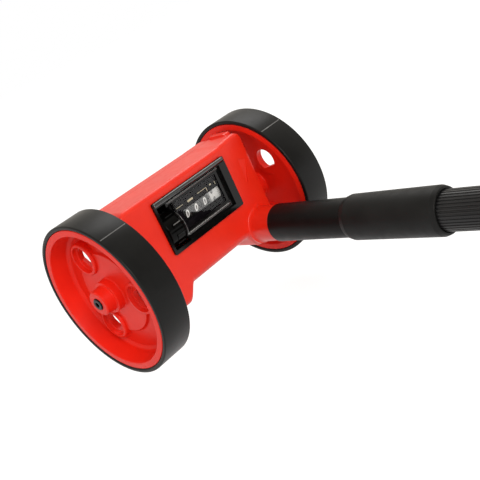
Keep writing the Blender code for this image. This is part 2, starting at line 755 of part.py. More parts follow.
def body_stations(half, rounding):
    """Distances along the axle with the inset of each section there."""
    side = []
    for index in range(FLARE_STEPS + 1):
        side.append((FLARE_START + (FLARE_END - FLARE_START) * index / FLARE_STEPS, 0.0))
    for index in range(CORNER_STEPS + 1):
        angle = 0.5 * math.pi * index / CORNER_STEPS
        side.append((half - rounding + rounding * math.sin(angle), rounding * (1 - math.cos(angle))))
    return [(-x, inset) for x, inset in reversed(side)] + side


def loft_mesh(name, half, rounding, wall):
    """Skin through the housing sections, closed by an end face at each side."""
    work = bmesh.new()
    rings = []
    for x, inset in body_stations(half, rounding):
        ring = [work.verts.new((x, y, z)) for y, z in body_section(x, wall, inset)]
        rings.append(ring)
    count = len(rings[0])
    for first, second in zip(rings, rings[1:]):
        for index in range(count):
            following = (index + 1) % count
            work.faces.new((first[index], first[following], second[following], second[index]))
    work.faces.new(list(reversed(rings[0])))
    work.faces.new(rings[-1])
    bmesh.ops.recalc_face_normals(work, faces=work.faces)
    mesh = bpy.data.meshes.new(name)
    work.to_mesh(mesh)
    work.free()
    return mesh


def make_housing():
    """Moulded front housing with neck and bosses, and the rear cover that closes it."""
    reach = BODY_LENGTH
    end_gap = GAP / 2
    hollow = loft_mesh("cavity", BODY_HALF - END_WALL, END_ROUND - END_WALL, WALL)
    cavity = place("cavity", hollow, CHASSIS, cutter=True)
    front = place("front_housing", loft_mesh("front_housing", BODY_HALF, END_ROUND, 0.0), CHASSIS, RED)
    back = place("rear_cover", loft_mesh("rear_cover", BODY_HALF, END_ROUND, 0.0), CHASSIS, RED)
    front_side = box("front_side", (-reach, -reach, -reach),
                     (reach, PARTING - end_gap, reach), CHASSIS, cutter=True)
    back_side = box("back_side", (-reach, PARTING + end_gap, -reach),
                    (reach, reach, reach), CHASSIS, cutter=True)
    boolean(front, front_side, "INTERSECT", "MANIFOLD")
    boolean(back, back_side, "INTERSECT", "MANIFOLD")
    boolean(front, cavity, "DIFFERENCE", "MANIFOLD")
    boolean(back, cavity, "DIFFERENCE", "MANIFOLD")
    add_bush_bosses(front)
    add_cover_bosses(front, back)
    boolean(front, make_neck(), "UNION", "MANIFOLD")
    boolean(front, make_shoulder(), "UNION", "MANIFOLD")
    half_opening = BEZEL_WIDTH / 2 - BEZEL_SIDE_LIP + GAP
    opening = box("counter_opening",
                  (-half_opening, -BODY_FRONT - CUT_OVERRUN, BEZEL_LOW + BEZEL_LIP - GAP),
                  (half_opening, -BODY_FRONT + WALL + CUT_OVERRUN, BEZEL_HIGH - BEZEL_LIP + GAP),
                  CHASSIS, cutter=True)
    boolean(front, opening, "DIFFERENCE", "MANIFOLD")
    boolean(front, mould_recess(), "DIFFERENCE", "MANIFOLD")
    for made in (front, back):
        round_shade(made.data)


def mould_recess():
    """Shallow three-cornered recess beside the counter, over the neck."""
    left = BODY_HALF - MOULD_RECESS_INSET
    points = [
        (left, MOULD_RECESS_LOW),
        (left + MOULD_RECESS_WIDTH, MOULD_RECESS_HIGH - MOULD_RECESS_SLOPE),
        (left, MOULD_RECESS_HIGH),
    ]
    facing = empty("recess_line", (0.0, -BODY_FRONT, 0.0), ALONG_HANDLE, CHASSIS)
    return outline("mould_recess", [points], -MOULD_RECESS_DEPTH, CUT_OVERRUN, facing, cutter=True)


def make_shoulder():
    """Raised shoulder at the top right end of the housing."""
    right = BODY_HALF - SHOULDER_INSET
    low = BODY_TOP - WALL + UNION_SINK
    block = box("shoulder", (right - SHOULDER_WIDTH, -SHOULDER_FRONT, low),
                (right, SHOULDER_LENGTH - SHOULDER_FRONT, SHOULDER_TOP), CHASSIS, cutter=True)
    soften(block, SHOULDER_ROUND)
    return block


def add_bush_bosses(front):
    for side, line in (("left", LEFT_LINE), ("right", AXLE_LINE)):
        inner = BODY_HALF - END_WALL
        boss = turned(side + "_bush_boss", [
            (0, inner - BUSH_BOSS_LENGTH),
            (BUSH_BOSS_RADIUS, inner - BUSH_BOSS_LENGTH),
            (BUSH_BOSS_RADIUS, inner + UNION_SINK),
            (0, inner + UNION_SINK),
        ], line, steps=SMALL_STEPS, cutter=True)
        boolean(front, boss, "UNION", "MANIFOLD")
        bore = turned(side + "_bush_bore", [
            (0, inner - BUSH_BOSS_LENGTH - CUT_OVERRUN),
            (BUSH_RADIUS + GAP, inner - BUSH_BOSS_LENGTH - CUT_OVERRUN),
            (BUSH_RADIUS + GAP, BODY_HALF + CUT_OVERRUN),
            (0, BODY_HALF + CUT_OVERRUN),
        ], line, steps=SMALL_STEPS, cutter=True)
        boolean(front, bore, "DIFFERENCE", "MANIFOLD")


def rod(name, radius, start, end, line, location):
    """Plain cylinder used to join or cut, from start to end along its line."""
    return turned(name, [(0, start), (radius, start), (radius, end), (0, end)],
                  line, steps=SMALL_STEPS, cutter=True, location=location)


def add_cover_bosses(front, back):
    """Screw bosses in both shells; the heads sit in counterbores of the rear cover."""
    facing = empty("cover_line", (0, 0, 0), ALONG_HANDLE, CHASSIS)
    seat = -(BODY_BACK - SCREW_HEAD_SINK)
    end_gap = GAP / 2
    for index, (x, z) in enumerate(COVER_SCREWS):
        spot = (x, z, 0.0)
        label = "cover_screw_" + str(index + 1)
        front_boss = rod(label + "_front_boss", SCREW_BOSS_RADIUS, -(PARTING - end_gap),
                         BODY_FRONT - WALL + UNION_SINK, facing, spot)
        boolean(front, front_boss, "UNION", "MANIFOLD")
        pilot = rod(label + "_pilot", SCREW_SHANK_RADIUS + GAP, -PARTING - CUT_OVERRUN,
                    seat + SCREW_LENGTH + GAP, facing, spot)
        boolean(front, pilot, "DIFFERENCE", "MANIFOLD")
        back_boss = rod(label + "_back_boss", SCREW_BOSS_RADIUS, -(BODY_BACK - UNION_SINK),
                        -(PARTING + end_gap), facing, spot)
        boolean(back, back_boss, "UNION", "MANIFOLD")
        through = rod(label + "_through", SCREW_SHANK_RADIUS + GAP, -BODY_BACK - CUT_OVERRUN,
                      -PARTING + CUT_OVERRUN, facing, spot)
        boolean(back, through, "DIFFERENCE", "MANIFOLD")
        sink = rod(label + "_sink", SCREW_HEAD_RADIUS + GAP, -BODY_BACK - CUT_OVERRUN, seat, facing, spot)
        boolean(back, sink, "DIFFERENCE", "MANIFOLD")
    make_cover_screws(facing, seat)


def make_cover_screws(facing, seat):
    """Four socket head screws that close the rear cover."""
    under = seat - GAP
    top = under - SCREW_HEAD_HEIGHT
    profile = [
        (0, seat + SCREW_LENGTH),
        (SCREW_SHANK_RADIUS, seat + SCREW_LENGTH),
        (SCREW_SHANK_RADIUS, under),
        (SCREW_HEAD_RADIUS, under),
        (SCREW_HEAD_RADIUS, top),
        (0, top),
    ]
    for index, (x, z) in enumerate(COVER_SCREWS):
        name = "cover_screw_" + str(index + 1)
        spot = empty(name + "_line", (x, z, 0.0), (0, 0, 0), facing)
        screw = turned(name, profile, spot, DARK_STEEL, SMALL_STEPS)
        socket = outline(name + "_socket", [circle(SCREW_SOCKET_RADIUS, HEX_SIDES)],
                         top - CUT_OVERRUN, top + SCREW_SOCKET_DEPTH, spot, cutter=True)
        boolean(screw, socket, "DIFFERENCE")
        round_shade(screw.data)


def make_neck():
    """Round stub on the front face that the handle tube sleeves over."""
    base = BODY_FRONT - WALL + UNION_SINK
    points = [(0, base), (NECK_FOOT_RADIUS, base), (NECK_FOOT_RADIUS, BODY_FRONT)]
    spread = NECK_FOOT_RADIUS - NECK_RADIUS
    for index in range(1, CORNER_STEPS + 1):
        angle = 0.5 * math.pi * index / CORNER_STEPS
        radius = NECK_FOOT_RADIUS - spread * math.sin(angle)
        points.append((radius, BODY_FRONT + NECK_FILLET * (1 - math.cos(angle))))
    spigot_end = NECK_END + SPIGOT_LENGTH
    points += [
        (NECK_RADIUS, NECK_END),
        (SPIGOT_RADIUS, NECK_END),
        (SPIGOT_RADIUS, spigot_end - GAP),
        (SPIGOT_RADIUS - GAP, spigot_end),
        (0, spigot_end),
    ]
    return turned("neck", points, HANDLE_LINE, steps=TUBE_STEPS, cutter=True)


def make_bezel():
    """Snap-in counter bezel: flange, recessed view, thumb slot and the skirt behind."""
    facing = empty("bezel_line", (0, 0, 0), ALONG_HANDLE, CHASSIS)
    half = BEZEL_WIDTH / 2
    inner = half - BEZEL_SIDE_LIP
    flange = [rounded_rectangle(-half, half, BEZEL_LOW, BEZEL_HIGH, BEZEL_CORNER)]
    bezel = outline("counter_bezel", flange, BODY_FRONT + GAP, BEZEL_FACE, facing, GLOSS_BLACK)
    edge = [rounded_rectangle(-inner, inner, BEZEL_LOW + BEZEL_LIP, BEZEL_HIGH - BEZEL_LIP, GAP)]
    skirt = outline("bezel_skirt", edge, BEZEL_BACK, BODY_FRONT + GAP + UNION_SINK, facing, cutter=True)
    soften(bezel, GAP)
    boolean(bezel, skirt, "UNION")
    boolean(bezel, bezel_bar(half), "UNION", "MANIFOLD")
    recess_edge = [rounded_rectangle(-RECESS_LEFT, RECESS_RIGHT, RECESS_LOW, RECESS_HIGH, GAP)]
    recess = outline("bezel_recess", recess_edge, BEZEL_FACE - RECESS_DEPTH,
                     BEZEL_FACE + CUT_OVERRUN, facing, cutter=True)
    view = outline("bezel_view", [rounded_rectangle(-VIEW_LEFT, VIEW_RIGHT, VIEW_LOW, VIEW_HIGH, GAP)],
                   BEZEL_BACK - CUT_OVERRUN, BEZEL_FACE, facing, cutter=True)
    border = WINDOW_BORDER + GAP
    seat = outline("bezel_seat", [rounded_rectangle(-THUMB_RIGHT + GAP, VIEW_RIGHT + border,
                                                VIEW_LOW - border, VIEW_HIGH + border, GAP)],
                   BEZEL_BACK - CUT_OVERRUN, WINDOW_SEAT, facing, cutter=True)
    slot_left = -THUMB_LEFT - THUMB_CLEARANCE
    slot_right = -THUMB_RIGHT + GAP
    reach = THUMB_RADIUS + THUMB_CLEARANCE
    deep_low = THUMB_Q - thumb_chord(BEZEL_BACK)
    slot_edge = [rounded_rectangle(slot_left, slot_right, THUMB_SLOT_LOW, THUMB_Q + reach, GAP)]
    slot = outline("bezel_thumb_slot", slot_edge, BEZEL_BACK - CUT_OVERRUN,
                   BEZEL_FACE + CUT_OVERRUN, facing, cutter=True)
    pocket_edge = [rounded_rectangle(slot_left, slot_right, deep_low, THUMB_Q + reach, GAP)]
    deep_slot = outline("bezel_thumb_pocket", pocket_edge, BEZEL_BACK - CUT_OVERRUN,
                        BODY_FRONT, facing, cutter=True)
    for tool in (recess, view, seat, slot, deep_slot):
        boolean(bezel, tool, "DIFFERENCE", "MANIFOLD")
    make_window(facing)


def bezel_bar(half):
    """Rounded bar that stands proud along the top of the bezel."""
    line = empty("bezel_bar_line", (0.0, -BEZEL_FACE, BEZEL_HIGH - BEZEL_BAR_DROP), ALONG_X, CHASSIS)
    end = half - BEZEL_BAR_INSET
    return turned("bezel_bar", [
        (0, end),
        (BEZEL_BAR_RADIUS - GAP, end),
        (BEZEL_BAR_RADIUS, end - GAP),
        (BEZEL_BAR_RADIUS, GAP - end),
        (BEZEL_BAR_RADIUS - GAP, -end),
        (0, -end),
    ], line, steps=SMALL_STEPS, cutter=True)


def thumb_chord(front):
    """Half height of the thumbwheel with its clearance, at a distance along the handle."""
    return math.sqrt((THUMB_RADIUS + THUMB_CLEARANCE) ** 2 - (front - THUMB_P) ** 2)


def make_window(facing):
    """Clear window, and behind it the label plate with its slot for the drums."""
    left = -VIEW_LEFT - WINDOW_BORDER + GAP
    right = VIEW_RIGHT + WINDOW_BORDER
    low = VIEW_LOW - WINDOW_BORDER
    high = VIEW_HIGH + WINDOW_BORDER
    plate = rounded_rectangle(left, right, low, high, GAP)
    outline("counter_window", [plate], WINDOW_BACK, WINDOW_BACK + WINDOW_THICKNESS, facing, CLEAR)
    drum_end = DRUM_FIRST + (DRUMS - 1) * DRUM_PITCH + UNITS_FACE
    slot = rounded_rectangle(-LABEL_SLOT_LEFT, drum_end, LABEL_SLOT_LOW, LABEL_SLOT_HIGH, GAP)
    outline("label_plate", [plate, slot], LABEL_BACK, LABEL_BACK + LABEL_THICKNESS, facing, GLOSS_BLACK)


def drum_start(index):
    return DRUM_FIRST + index * DRUM_PITCH


def ring_start(index):
    return drum_start(index) + DRUM_FACE


def pinion_angle():
    """Direction from the drum shaft to the carry shaft, in the drums' local frame."""
    toward_front = math.cos(PINION_BEARING)
    upward = math.sin(PINION_BEARING)
    return math.atan2(-toward_front, -upward)


def make_drums():
    """Four number drums; all but the units drum carry a ring of carry teeth."""
    bore = SHAFT_RADIUS + GAP
    for index in range(DRUMS):
        units = index == DRUMS - 1
        start = drum_start(index)
        end = start + (UNITS_FACE if units else DRUM_FACE)
        rim = DRUM_RADIUS - DRUM_RIM_WALL
        points = [
            (bore, start),
            (DRUM_HUB_RADIUS, start),
            (DRUM_HUB_RADIUS, start + DRUM_DISH),
            (rim, start + DRUM_DISH),
            (rim, start),
            (DRUM_RADIUS, start),
            (DRUM_RADIUS, end),
            (bore, end),
        ]
        name = "digit_drum_" + str(index + 1)
        drum = turned(name, points, DRUM_LINE, DRUM_WHITE if units else DRUM_GREY, TUBE_STEPS)
        if not units:
            phase = pinion_angle() + math.pi / RING_TEETH
            ring = [gear_outline(RING_TEETH, phase), circle(DRUM_HUB_RADIUS, SMALL_STEPS)]
            teeth = outline(name + "_teeth", ring, end - UNION_SINK,
                            start + DRUM_PITCH - GAP, DRUM_LINE, cutter=True)
            boolean(drum, teeth, "UNION")
        round_shade(drum.data)


def carry_place():
    distance = pitch_radius(RING_TEETH) + pitch_radius(PINION_TEETH)
    front = SHAFT_P + distance * math.cos(PINION_BEARING)
    up = SHAFT_Q + distance * math.sin(PINION_BEARING)
    return (0.0, -front, up)


def make_pinions():
    line = empty("carry_line", carry_place(), ALONG_X, CHASSIS)
    bore = PINION_SHAFT_RADIUS + GAP
    for index in range(DRUMS - 1):
        middle = (ring_start(index) + drum_start(index + 1)) / 2
        loops = [gear_outline(PINION_TEETH, pinion_angle() + math.pi), circle(bore, SMALL_STEPS)]
        outline("carry_pinion_" + str(index + 1), loops, middle - PINION_WIDTH / 2,
                middle + PINION_WIDTH / 2, line, NYLON)
    start = middle_plate_start()
    end = right_plate_start() + FRAME_RIGHT_PLATE
    turned("carry_shaft", [(0, end), (PINION_SHAFT_RADIUS, end), (PINION_SHAFT_RADIUS, start), (0, start)],
           line, STEEL, SMALL_STEPS)


def middle_plate_start():
    return -THUMB_RIGHT + GAP


def right_plate_start():
    return drum_start(DRUMS - 1) + UNITS_FACE + GAP + GAP


def idler_place():
    """Idler centre behind the line from axle to drum shaft, from the two centre distances."""
    first = pitch_radius(AXLE_TEETH) + pitch_radius(IDLER_LARGE_TEETH)
    second = pitch_radius(IDLER_SMALL_TEETH) + pitch_radius(COUNTER_TEETH)
    span = math.hypot(SHAFT_P, SHAFT_Q)
    along = (first ** 2 - second ** 2 + span ** 2) / (2 * span)
    aside = math.sqrt(first ** 2 - along ** 2)
    unit_p = SHAFT_P / span
    unit_q = SHAFT_Q / span
    front = along * unit_p - aside * unit_q
    up = along * unit_q + aside * unit_p
    return front, up


def local_angle(front, up):
    """Angle in the local frame of a piece along X for a direction toward front and up."""
    return math.atan2(-front, -up)


def make_gears():
    """Three to one reduction: axle gear, compound idler and the gear on the drum shaft."""
    front, up = idler_place()
    idler_line = empty("idler_line", (0.0, -front, up), ALONG_X, CHASSIS)
    first_start = right_plate_start() + FRAME_RIGHT_PLATE + COUNTER_GEAR_OFFSET
    first_end = first_start + COUNTER_GEAR_WIDTH
    second_start = first_end + GEAR_SPACING
    second_end = second_start + DRIVE_GEAR_WIDTH
    to_idler = local_angle(front, up)
    to_drum = local_angle(SHAFT_P - front, SHAFT_Q - up)
    outline("drive_gear", [gear_outline(AXLE_TEETH, to_idler), circle(AXLE_RADIUS + GAP, SMALL_STEPS)],
            second_start, second_end, AXLE_LINE, NYLON)
    bore = IDLER_PIN_RADIUS + GAP
    large_phase = to_idler + math.pi + math.pi / IDLER_LARGE_TEETH
    idler = outline("idler_gear", [gear_outline(IDLER_LARGE_TEETH, large_phase), circle(bore, SMALL_STEPS)],
                    second_start, second_end, idler_line, NYLON)
    small = outline("idler_small_gear", [gear_outline(IDLER_SMALL_TEETH, to_drum), circle(bore, SMALL_STEPS)],
                    first_start, second_start + UNION_SINK, idler_line, cutter=True)
    boolean(idler, small, "UNION")
    outline("counter_gear", [gear_outline(COUNTER_TEETH, to_drum + math.pi + math.pi / COUNTER_TEETH),
                             circle(SHAFT_RADIUS + GAP, SMALL_STEPS)],
            first_start, first_end, DRUM_LINE, NYLON)
    pin_start = right_plate_start() + GAP
    pin_end = second_end + GAP
    turned("idler_pin", [
        (0, pin_end + IDLER_PIN_HEAD),
        (IDLER_PIN_RADIUS + GAP + GAP, pin_end + IDLER_PIN_HEAD),
        (IDLER_PIN_RADIUS + GAP + GAP, pin_end),
        (IDLER_PIN_RADIUS, pin_end),
        (IDLER_PIN_RADIUS, pin_start),
        (0, pin_start),
    ], idler_line, STEEL, SMALL_STEPS)
    shaft_start = middle_plate_start()
    turned("drum_shaft", [(0, first_end + GAP), (SHAFT_RADIUS, first_end + GAP),
                          (SHAFT_RADIUS, shaft_start), (0, shaft_start)], DRUM_LINE, STEEL, SMALL_STEPS)


def make_thumbwheel():
    """Reset thumbwheel with smooth rims and a ribbed tread, on its own pin."""
    bore = THUMB_PIN_RADIUS + GAP
    tread = THUMB_RADIUS - THUMB_GROOVE
    left = -THUMB_LEFT
    right = -THUMB_RIGHT
    wheel = turned("reset_thumbwheel", [
        (bore, left),
        (tread, left),
        (THUMB_RADIUS, left + THUMB_RIM),
        (THUMB_RADIUS, left + 2 * THUMB_RIM),
        (tread, left + 3 * THUMB_RIM),
        (tread, right - 2 * THUMB_RIM),
        (THUMB_RADIUS, right - THUMB_RIM - GAP),
        (THUMB_RADIUS, right),
        (bore, right),
    ], THUMB_LINE, GLOSS_BLACK, TUBE_STEPS)
    step = 2 * math.pi / THUMB_RIBS
    inner = tread - UNION_SINK
    outer = THUMB_RADIUS - GAP
    points = []
    for index in range(THUMB_RIBS):
        middle = index * step
        for radius, share in ((inner, -THUMB_RIB_SHARE), (outer, -THUMB_RIB_SHARE / 2),
                              (outer, THUMB_RIB_SHARE / 2), (inner, THUMB_RIB_SHARE)):
            angle = middle + share * step / 2
            points.append((radius * math.cos(angle), radius * math.sin(angle)))
    ribs = outline("thumb_ribs", [points, circle(THUMB_HUB_RADIUS, SMALL_STEPS)],
                   left + 2 * THUMB_RIM, right - THUMB_RIM - GAP - GAP, THUMB_LINE, cutter=True)
    boolean(wheel, ribs, "UNION", "MANIFOLD")
    round_shade(wheel.data)
    pin_start = -THUMB_LEFT - GAP - FRAME_PLATE
    pin_end = middle_plate_start() + FRAME_PLATE
    turned("thumbwheel_pin", [
        (0, pin_end),
        (THUMB_PIN_RADIUS, pin_end),
        (THUMB_PIN_RADIUS, pin_start),
        (0, pin_start),
    ], THUMB_LINE, STEEL, SMALL_STEPS)


def make_counter_frame():
    """Frame of the counter: three bearing plates joined by a back wall."""
    front = -(BEZEL_BACK - GAP)
    right_low = right_plate_start()
    right_high = right_low + FRAME_RIGHT_PLATE
    left_low = -THUMB_LEFT - GAP - FRAME_PLATE
    frame = box("counter_frame", (left_low, FRAME_BACK, FRAME_BACK_LOW),
                (right_high, FRAME_BACK + FRAME_PLATE, FRAME_HIGH), CHASSIS, BLACK)
    middle_low = middle_plate_start()
    middle_high = middle_low + FRAME_PLATE
    back = FRAME_BACK + FRAME_PLATE / 2
    for name, start, end, tail in (
        ("left_plate", left_low, left_low + FRAME_PLATE, back),
        ("middle_plate", middle_low, middle_high, back),
        ("right_plate", right_low, right_high, FRAME_TAIL),
    ):
        plate = box(name, (start, front, FRAME_LOW), (end, tail, FRAME_HIGH), CHASSIS, cutter=True)
        boolean(frame, plate, "UNION", "MANIFOLD")
    idler_front, idler_up = idler_place()
    for name, place_at, radius, start, end in (
        ("thumb_bore", (0.0, -THUMB_P, THUMB_Q), THUMB_PIN_RADIUS + GAP, left_low, middle_high),
        ("shaft_bore", (0.0, -SHAFT_P, SHAFT_Q), SHAFT_RADIUS + GAP, middle_low, right_high),
        ("carry_bore", carry_place(), PINION_SHAFT_RADIUS + GAP, middle_low, right_high),
        ("idler_bore", (0.0, -idler_front, idler_up), IDLER_PIN_RADIUS + GAP, right_low, right_high),
    ):
        line = empty(name + "_line", place_at, ALONG_X, CHASSIS)
        bore = rod(name, radius, start - CUT_OVERRUN, end + CUT_OVERRUN, line, (0, 0, 0))
        boolean(frame, bore, "DIFFERENCE", "MANIFOLD")
    return frame


def tube(name, outer_start, outer_end, bore, start, end, look):
    """Straight or tapered tube on the handle line."""
    return turned(name, [(bore, start), (outer_start, start), (outer_end, end), (bore, end)],
                  HANDLE_LINE, look, TUBE_STEPS)


def make_collar():
    """Wide lock collar over the joint of the smooth and the ribbed tube."""
    step = LOWER_TUBE_END + GAP
    wide = LOWER_TUBE_RADIUS + GAP
    narrow = RIBBED_RADIUS + GAP
    points = [(wide, step), (wide, COLLAR_START)]
    for index in range(CORNER_STEPS + 1):
        angle = 0.5 * math.pi * index / CORNER_STEPS
        radius = COLLAR_RADIUS - COLLAR_LIP * (1 - math.sin(angle))
        points.append((radius, COLLAR_START + COLLAR_SHOULDER * (1 - math.cos(angle))))
    for index in range(CORNER_STEPS + 1):
        angle = 0.5 * math.pi * index / CORNER_STEPS
        radius = COLLAR_TOP_RADIUS - COLLAR_LIP * (1 - math.cos(angle))
        points.append((radius, COLLAR_END - COLLAR_SHOULDER * (1 - math.sin(angle))))
    points += [(narrow, COLLAR_END), (narrow, step)]
    turned("lock_collar", points, HANDLE_LINE, BLACK, TUBE_STEPS)


def ribbed_outline():
    points = []
    step = 2 * math.pi / RIB_COUNT
    for index in range(RIB_COUNT):
        root = RIBBED_RADIUS - RIB_DEPTH
        for radius, share in zip((RIBBED_RADIUS, RIBBED_RADIUS, root, root), RIB_SHARES):
            angle = (index + share) * step
            points.append((radius * math.cos(angle), radius * math.sin(angle)))
    return points


def twist_lock(name, start, end, radius, over, bore_over, bore_inner, look):
    """Fluted ring that grips one tube end and slides on the next tube."""
    ring = turned(name, [
        (bore_over, start),
        (radius - LOCK_SHOULDER, start),
        (radius, start + LOCK_SHOULDER),
        (radius, end - LOCK_SHOULDER),
        (radius - LOCK_SHOULDER, end),
        (bore_inner, end),
        (bore_inner, over),
        (bore_over, over),
    ], HANDLE_LINE, look, TUBE_STEPS)
    for index in range(LOCK_FLUTES):
        angle = 2 * math.pi * index / LOCK_FLUTES
        distance = radius + LOCK_FLUTE_RADIUS - LOCK_FLUTE_DEPTH
        centre = (distance * math.cos(angle), distance * math.sin(angle))
        edge = [circle(LOCK_FLUTE_RADIUS, SMALL_STEPS, centre)]
        flute = outline(name + "_flute_" + str(index + 1), edge, start + LOCK_FLUTE_INSET,
                        end - LOCK_FLUTE_INSET, HANDLE_LINE, cutter=True)
        boolean(ring, flute, "DIFFERENCE")
    round_shade(ring.data)


def make_grip():
    """Soft hand grip with ring grooves, closed by an end cap."""
    bore = INNER_RADIUS + GAP
    first = GRIP_START + GRIP_COLLAR
    last = GRIP_END - GRIP_COLLAR
    step = (last - first) / GRIP_GROOVES
    root = GRIP_RADIUS - GRIP_GROOVE_DEPTH
    points = [(bore, GRIP_START), (root, GRIP_START), (GRIP_RADIUS, GRIP_START + GRIP_GROOVE_DEPTH)]
    for index in range(GRIP_GROOVES):
        base = first + index * step
        for radius, share in zip((GRIP_RADIUS, root, GRIP_RADIUS), GRIP_GROOVE_SHARES):
            points.append((radius, base + step * share))
    points += [(GRIP_RADIUS, GRIP_END - GRIP_GROOVE_DEPTH), (root, GRIP_END), (bore, GRIP_END)]
    turned("hand_grip", points, HANDLE_LINE, RUBBER, TUBE_STEPS)
    start = GRIP_END + GAP
    end = start + CAP_LENGTH
    plug = INNER_BORE - GAP
    turned("end_cap", [
        (0, end),
        (CAP_RADIUS - CAP_ROUND, end),
        (CAP_RADIUS, end - CAP_ROUND),
        (CAP_RADIUS, start),
        (plug, start),
        (plug, start - CAP_PLUG_LENGTH),
        (0, start - CAP_PLUG_LENGTH),
    ], HANDLE_LINE, BLACK, TUBE_STEPS)


def make_handle():
    tube("lower_tube", LOWER_TUBE_RADIUS, LOWER_TUBE_TOP_RADIUS, LOWER_TUBE_BORE,
         NECK_END + GAP, LOWER_TUBE_END, BLACK)
    make_collar()
    ribbed = outline("ribbed_tube", [ribbed_outline(), circle(RIBBED_BORE, TUBE_STEPS)],
                     LOWER_TUBE_END + GAP, RIBBED_END, HANDLE_LINE, ALUMINIUM)
    round_shade(ribbed.data)
    tube("middle_tube", MIDDLE_RADIUS, MIDDLE_RADIUS, MIDDLE_BORE, MIDDLE_START, MIDDLE_END, ALUMINIUM)
    tube("inner_tube", INNER_RADIUS, INNER_RADIUS, INNER_BORE, INNER_START, GRIP_END, ALUMINIUM)
    twist_lock("lower_twist_lock", LOWER_LOCK_START, LOWER_LOCK_END, LOWER_LOCK_RADIUS,
               RIBBED_END + GAP, RIBBED_RADIUS + GAP, MIDDLE_RADIUS + GAP, BLACK)
    twist_lock("upper_twist_lock", UPPER_LOCK_START, UPPER_LOCK_END, UPPER_LOCK_RADIUS,
               MIDDLE_END + GAP, MIDDLE_RADIUS + GAP, INNER_RADIUS + GAP, BLACK)
    make_grip()


def settle_on_ground():
    """Move the tool so that the origin lies under the middle of its bounding box."""
    bpy.context.view_layer.update()
    graph = bpy.context.evaluated_depsgraph_get()
    corners = []
    for item in PARTS.objects:
        if item.type != "MESH":
            continue
        seen = item.evaluated_get(graph)
        corners += [seen.matrix_world @ vertex.co for vertex in seen.data.vertices]
    lows = [min(corner[axis] for corner in corners) for axis in range(3)]
    highs = [max(corner[axis] for corner in corners) for axis in range(3)]
    middle = Vector(((lows[0] + highs[0]) / 2, (lows[1] + highs[1]) / 2, lows[2]))
    CHASSIS.location = Vector(CHASSIS.location) - middle
    bpy.context.view_layer.update()


make_wheels()
make_housing()
make_bezel()
make_counter_frame()
make_drums()
make_pinions()
make_gears()
make_thumbwheel()
make_handle()
settle_on_ground()
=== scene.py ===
"""Looks of the measuring wheel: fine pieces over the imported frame, materials, light and camera.
Sizes are in millimetres of the tool's own frame, which TOOL places in the row frame: x runs along the
axle, front toward the grip and up square to both, all from the middle of the axle. A turned profile
lists (radius, distance along its line), an outline (x, up); a third number rounds that corner."""

import json
import math

import bmesh
import bpy
from mathutils import Matrix, Vector


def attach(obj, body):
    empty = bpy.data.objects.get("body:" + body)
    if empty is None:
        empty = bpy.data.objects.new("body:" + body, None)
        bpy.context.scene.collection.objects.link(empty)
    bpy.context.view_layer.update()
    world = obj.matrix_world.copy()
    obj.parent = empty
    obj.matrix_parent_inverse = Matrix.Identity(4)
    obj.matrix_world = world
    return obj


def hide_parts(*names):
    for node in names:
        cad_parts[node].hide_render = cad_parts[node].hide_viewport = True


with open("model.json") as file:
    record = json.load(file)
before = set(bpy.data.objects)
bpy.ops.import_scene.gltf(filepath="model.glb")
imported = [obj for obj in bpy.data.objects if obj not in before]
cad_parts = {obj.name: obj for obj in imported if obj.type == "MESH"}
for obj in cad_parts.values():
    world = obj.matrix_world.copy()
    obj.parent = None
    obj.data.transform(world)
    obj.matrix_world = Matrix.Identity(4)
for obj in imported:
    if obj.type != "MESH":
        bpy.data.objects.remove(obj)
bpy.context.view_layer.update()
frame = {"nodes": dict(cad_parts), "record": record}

MM = 0.001
TURN = 2 * math.pi
UNIT = Matrix.Diagonal((MM, MM, MM, 1.0))
AXLE_PLACE = (0.0, 0.21526077, 0.05312911)
HANDLE_SLOPE = math.radians(2.51834559)
TOOL = Matrix.Translation(AXLE_PLACE) @ Matrix.Rotation(HANDLE_SLOPE, 4, "X")
HANDLE_X = 42.4
HANDLE_UP = -18.5
DRUM_AXIS = (6.4, 18.2)
THUMB_AXIS = (11.7, 15.4)


def at(x, front, up):
    return Matrix.Translation((x * MM, -front * MM, up * MM))


ALONG_X = Matrix.Rotation(math.pi / 2, 4, "Y")
AGAINST_X = Matrix.Rotation(-math.pi / 2, 4, "Y")
ALONG_HANDLE = Matrix.Rotation(math.pi / 2, 4, "X")
RIGHT = TOOL @ ALONG_X @ UNIT
LEFT = TOOL @ AGAINST_X @ UNIT
FACE = TOOL @ ALONG_HANDLE @ UNIT
HANDLE = TOOL @ at(HANDLE_X, 0, HANDLE_UP) @ ALONG_HANDLE @ UNIT
DRUM = TOOL @ at(0, *DRUM_AXIS) @ ALONG_X @ UNIT
THUMB = TOOL @ at(0, *THUMB_AXIS) @ ALONG_X @ UNIT


# Materials
def shader_tree(name):
    made = bpy.data.materials.new(name)
    made.use_nodes = True
    return made, made.node_tree, made.node_tree.nodes["Principled BSDF"]


def noise(tree, scale, detail=3.0, stretch=(1.0, 1.0, 1.0), roughness=0.5):
    """Noise over the object's own place in space, in cycles per metre."""
    coords = tree.nodes.new("ShaderNodeTexCoord")
    spread = tree.nodes.new("ShaderNodeMapping")
    spread.inputs["Scale"].default_value = stretch
    pattern = tree.nodes.new("ShaderNodeTexNoise")
    pattern.inputs["Scale"].default_value = scale
    pattern.inputs["Detail"].default_value = detail
    pattern.inputs["Roughness"].default_value = roughness
    tree.links.new(coords.outputs["Object"], spread.inputs["Vector"])
    tree.links.new(spread.outputs["Vector"], pattern.inputs["Vector"])
    return pattern.outputs["Fac"]


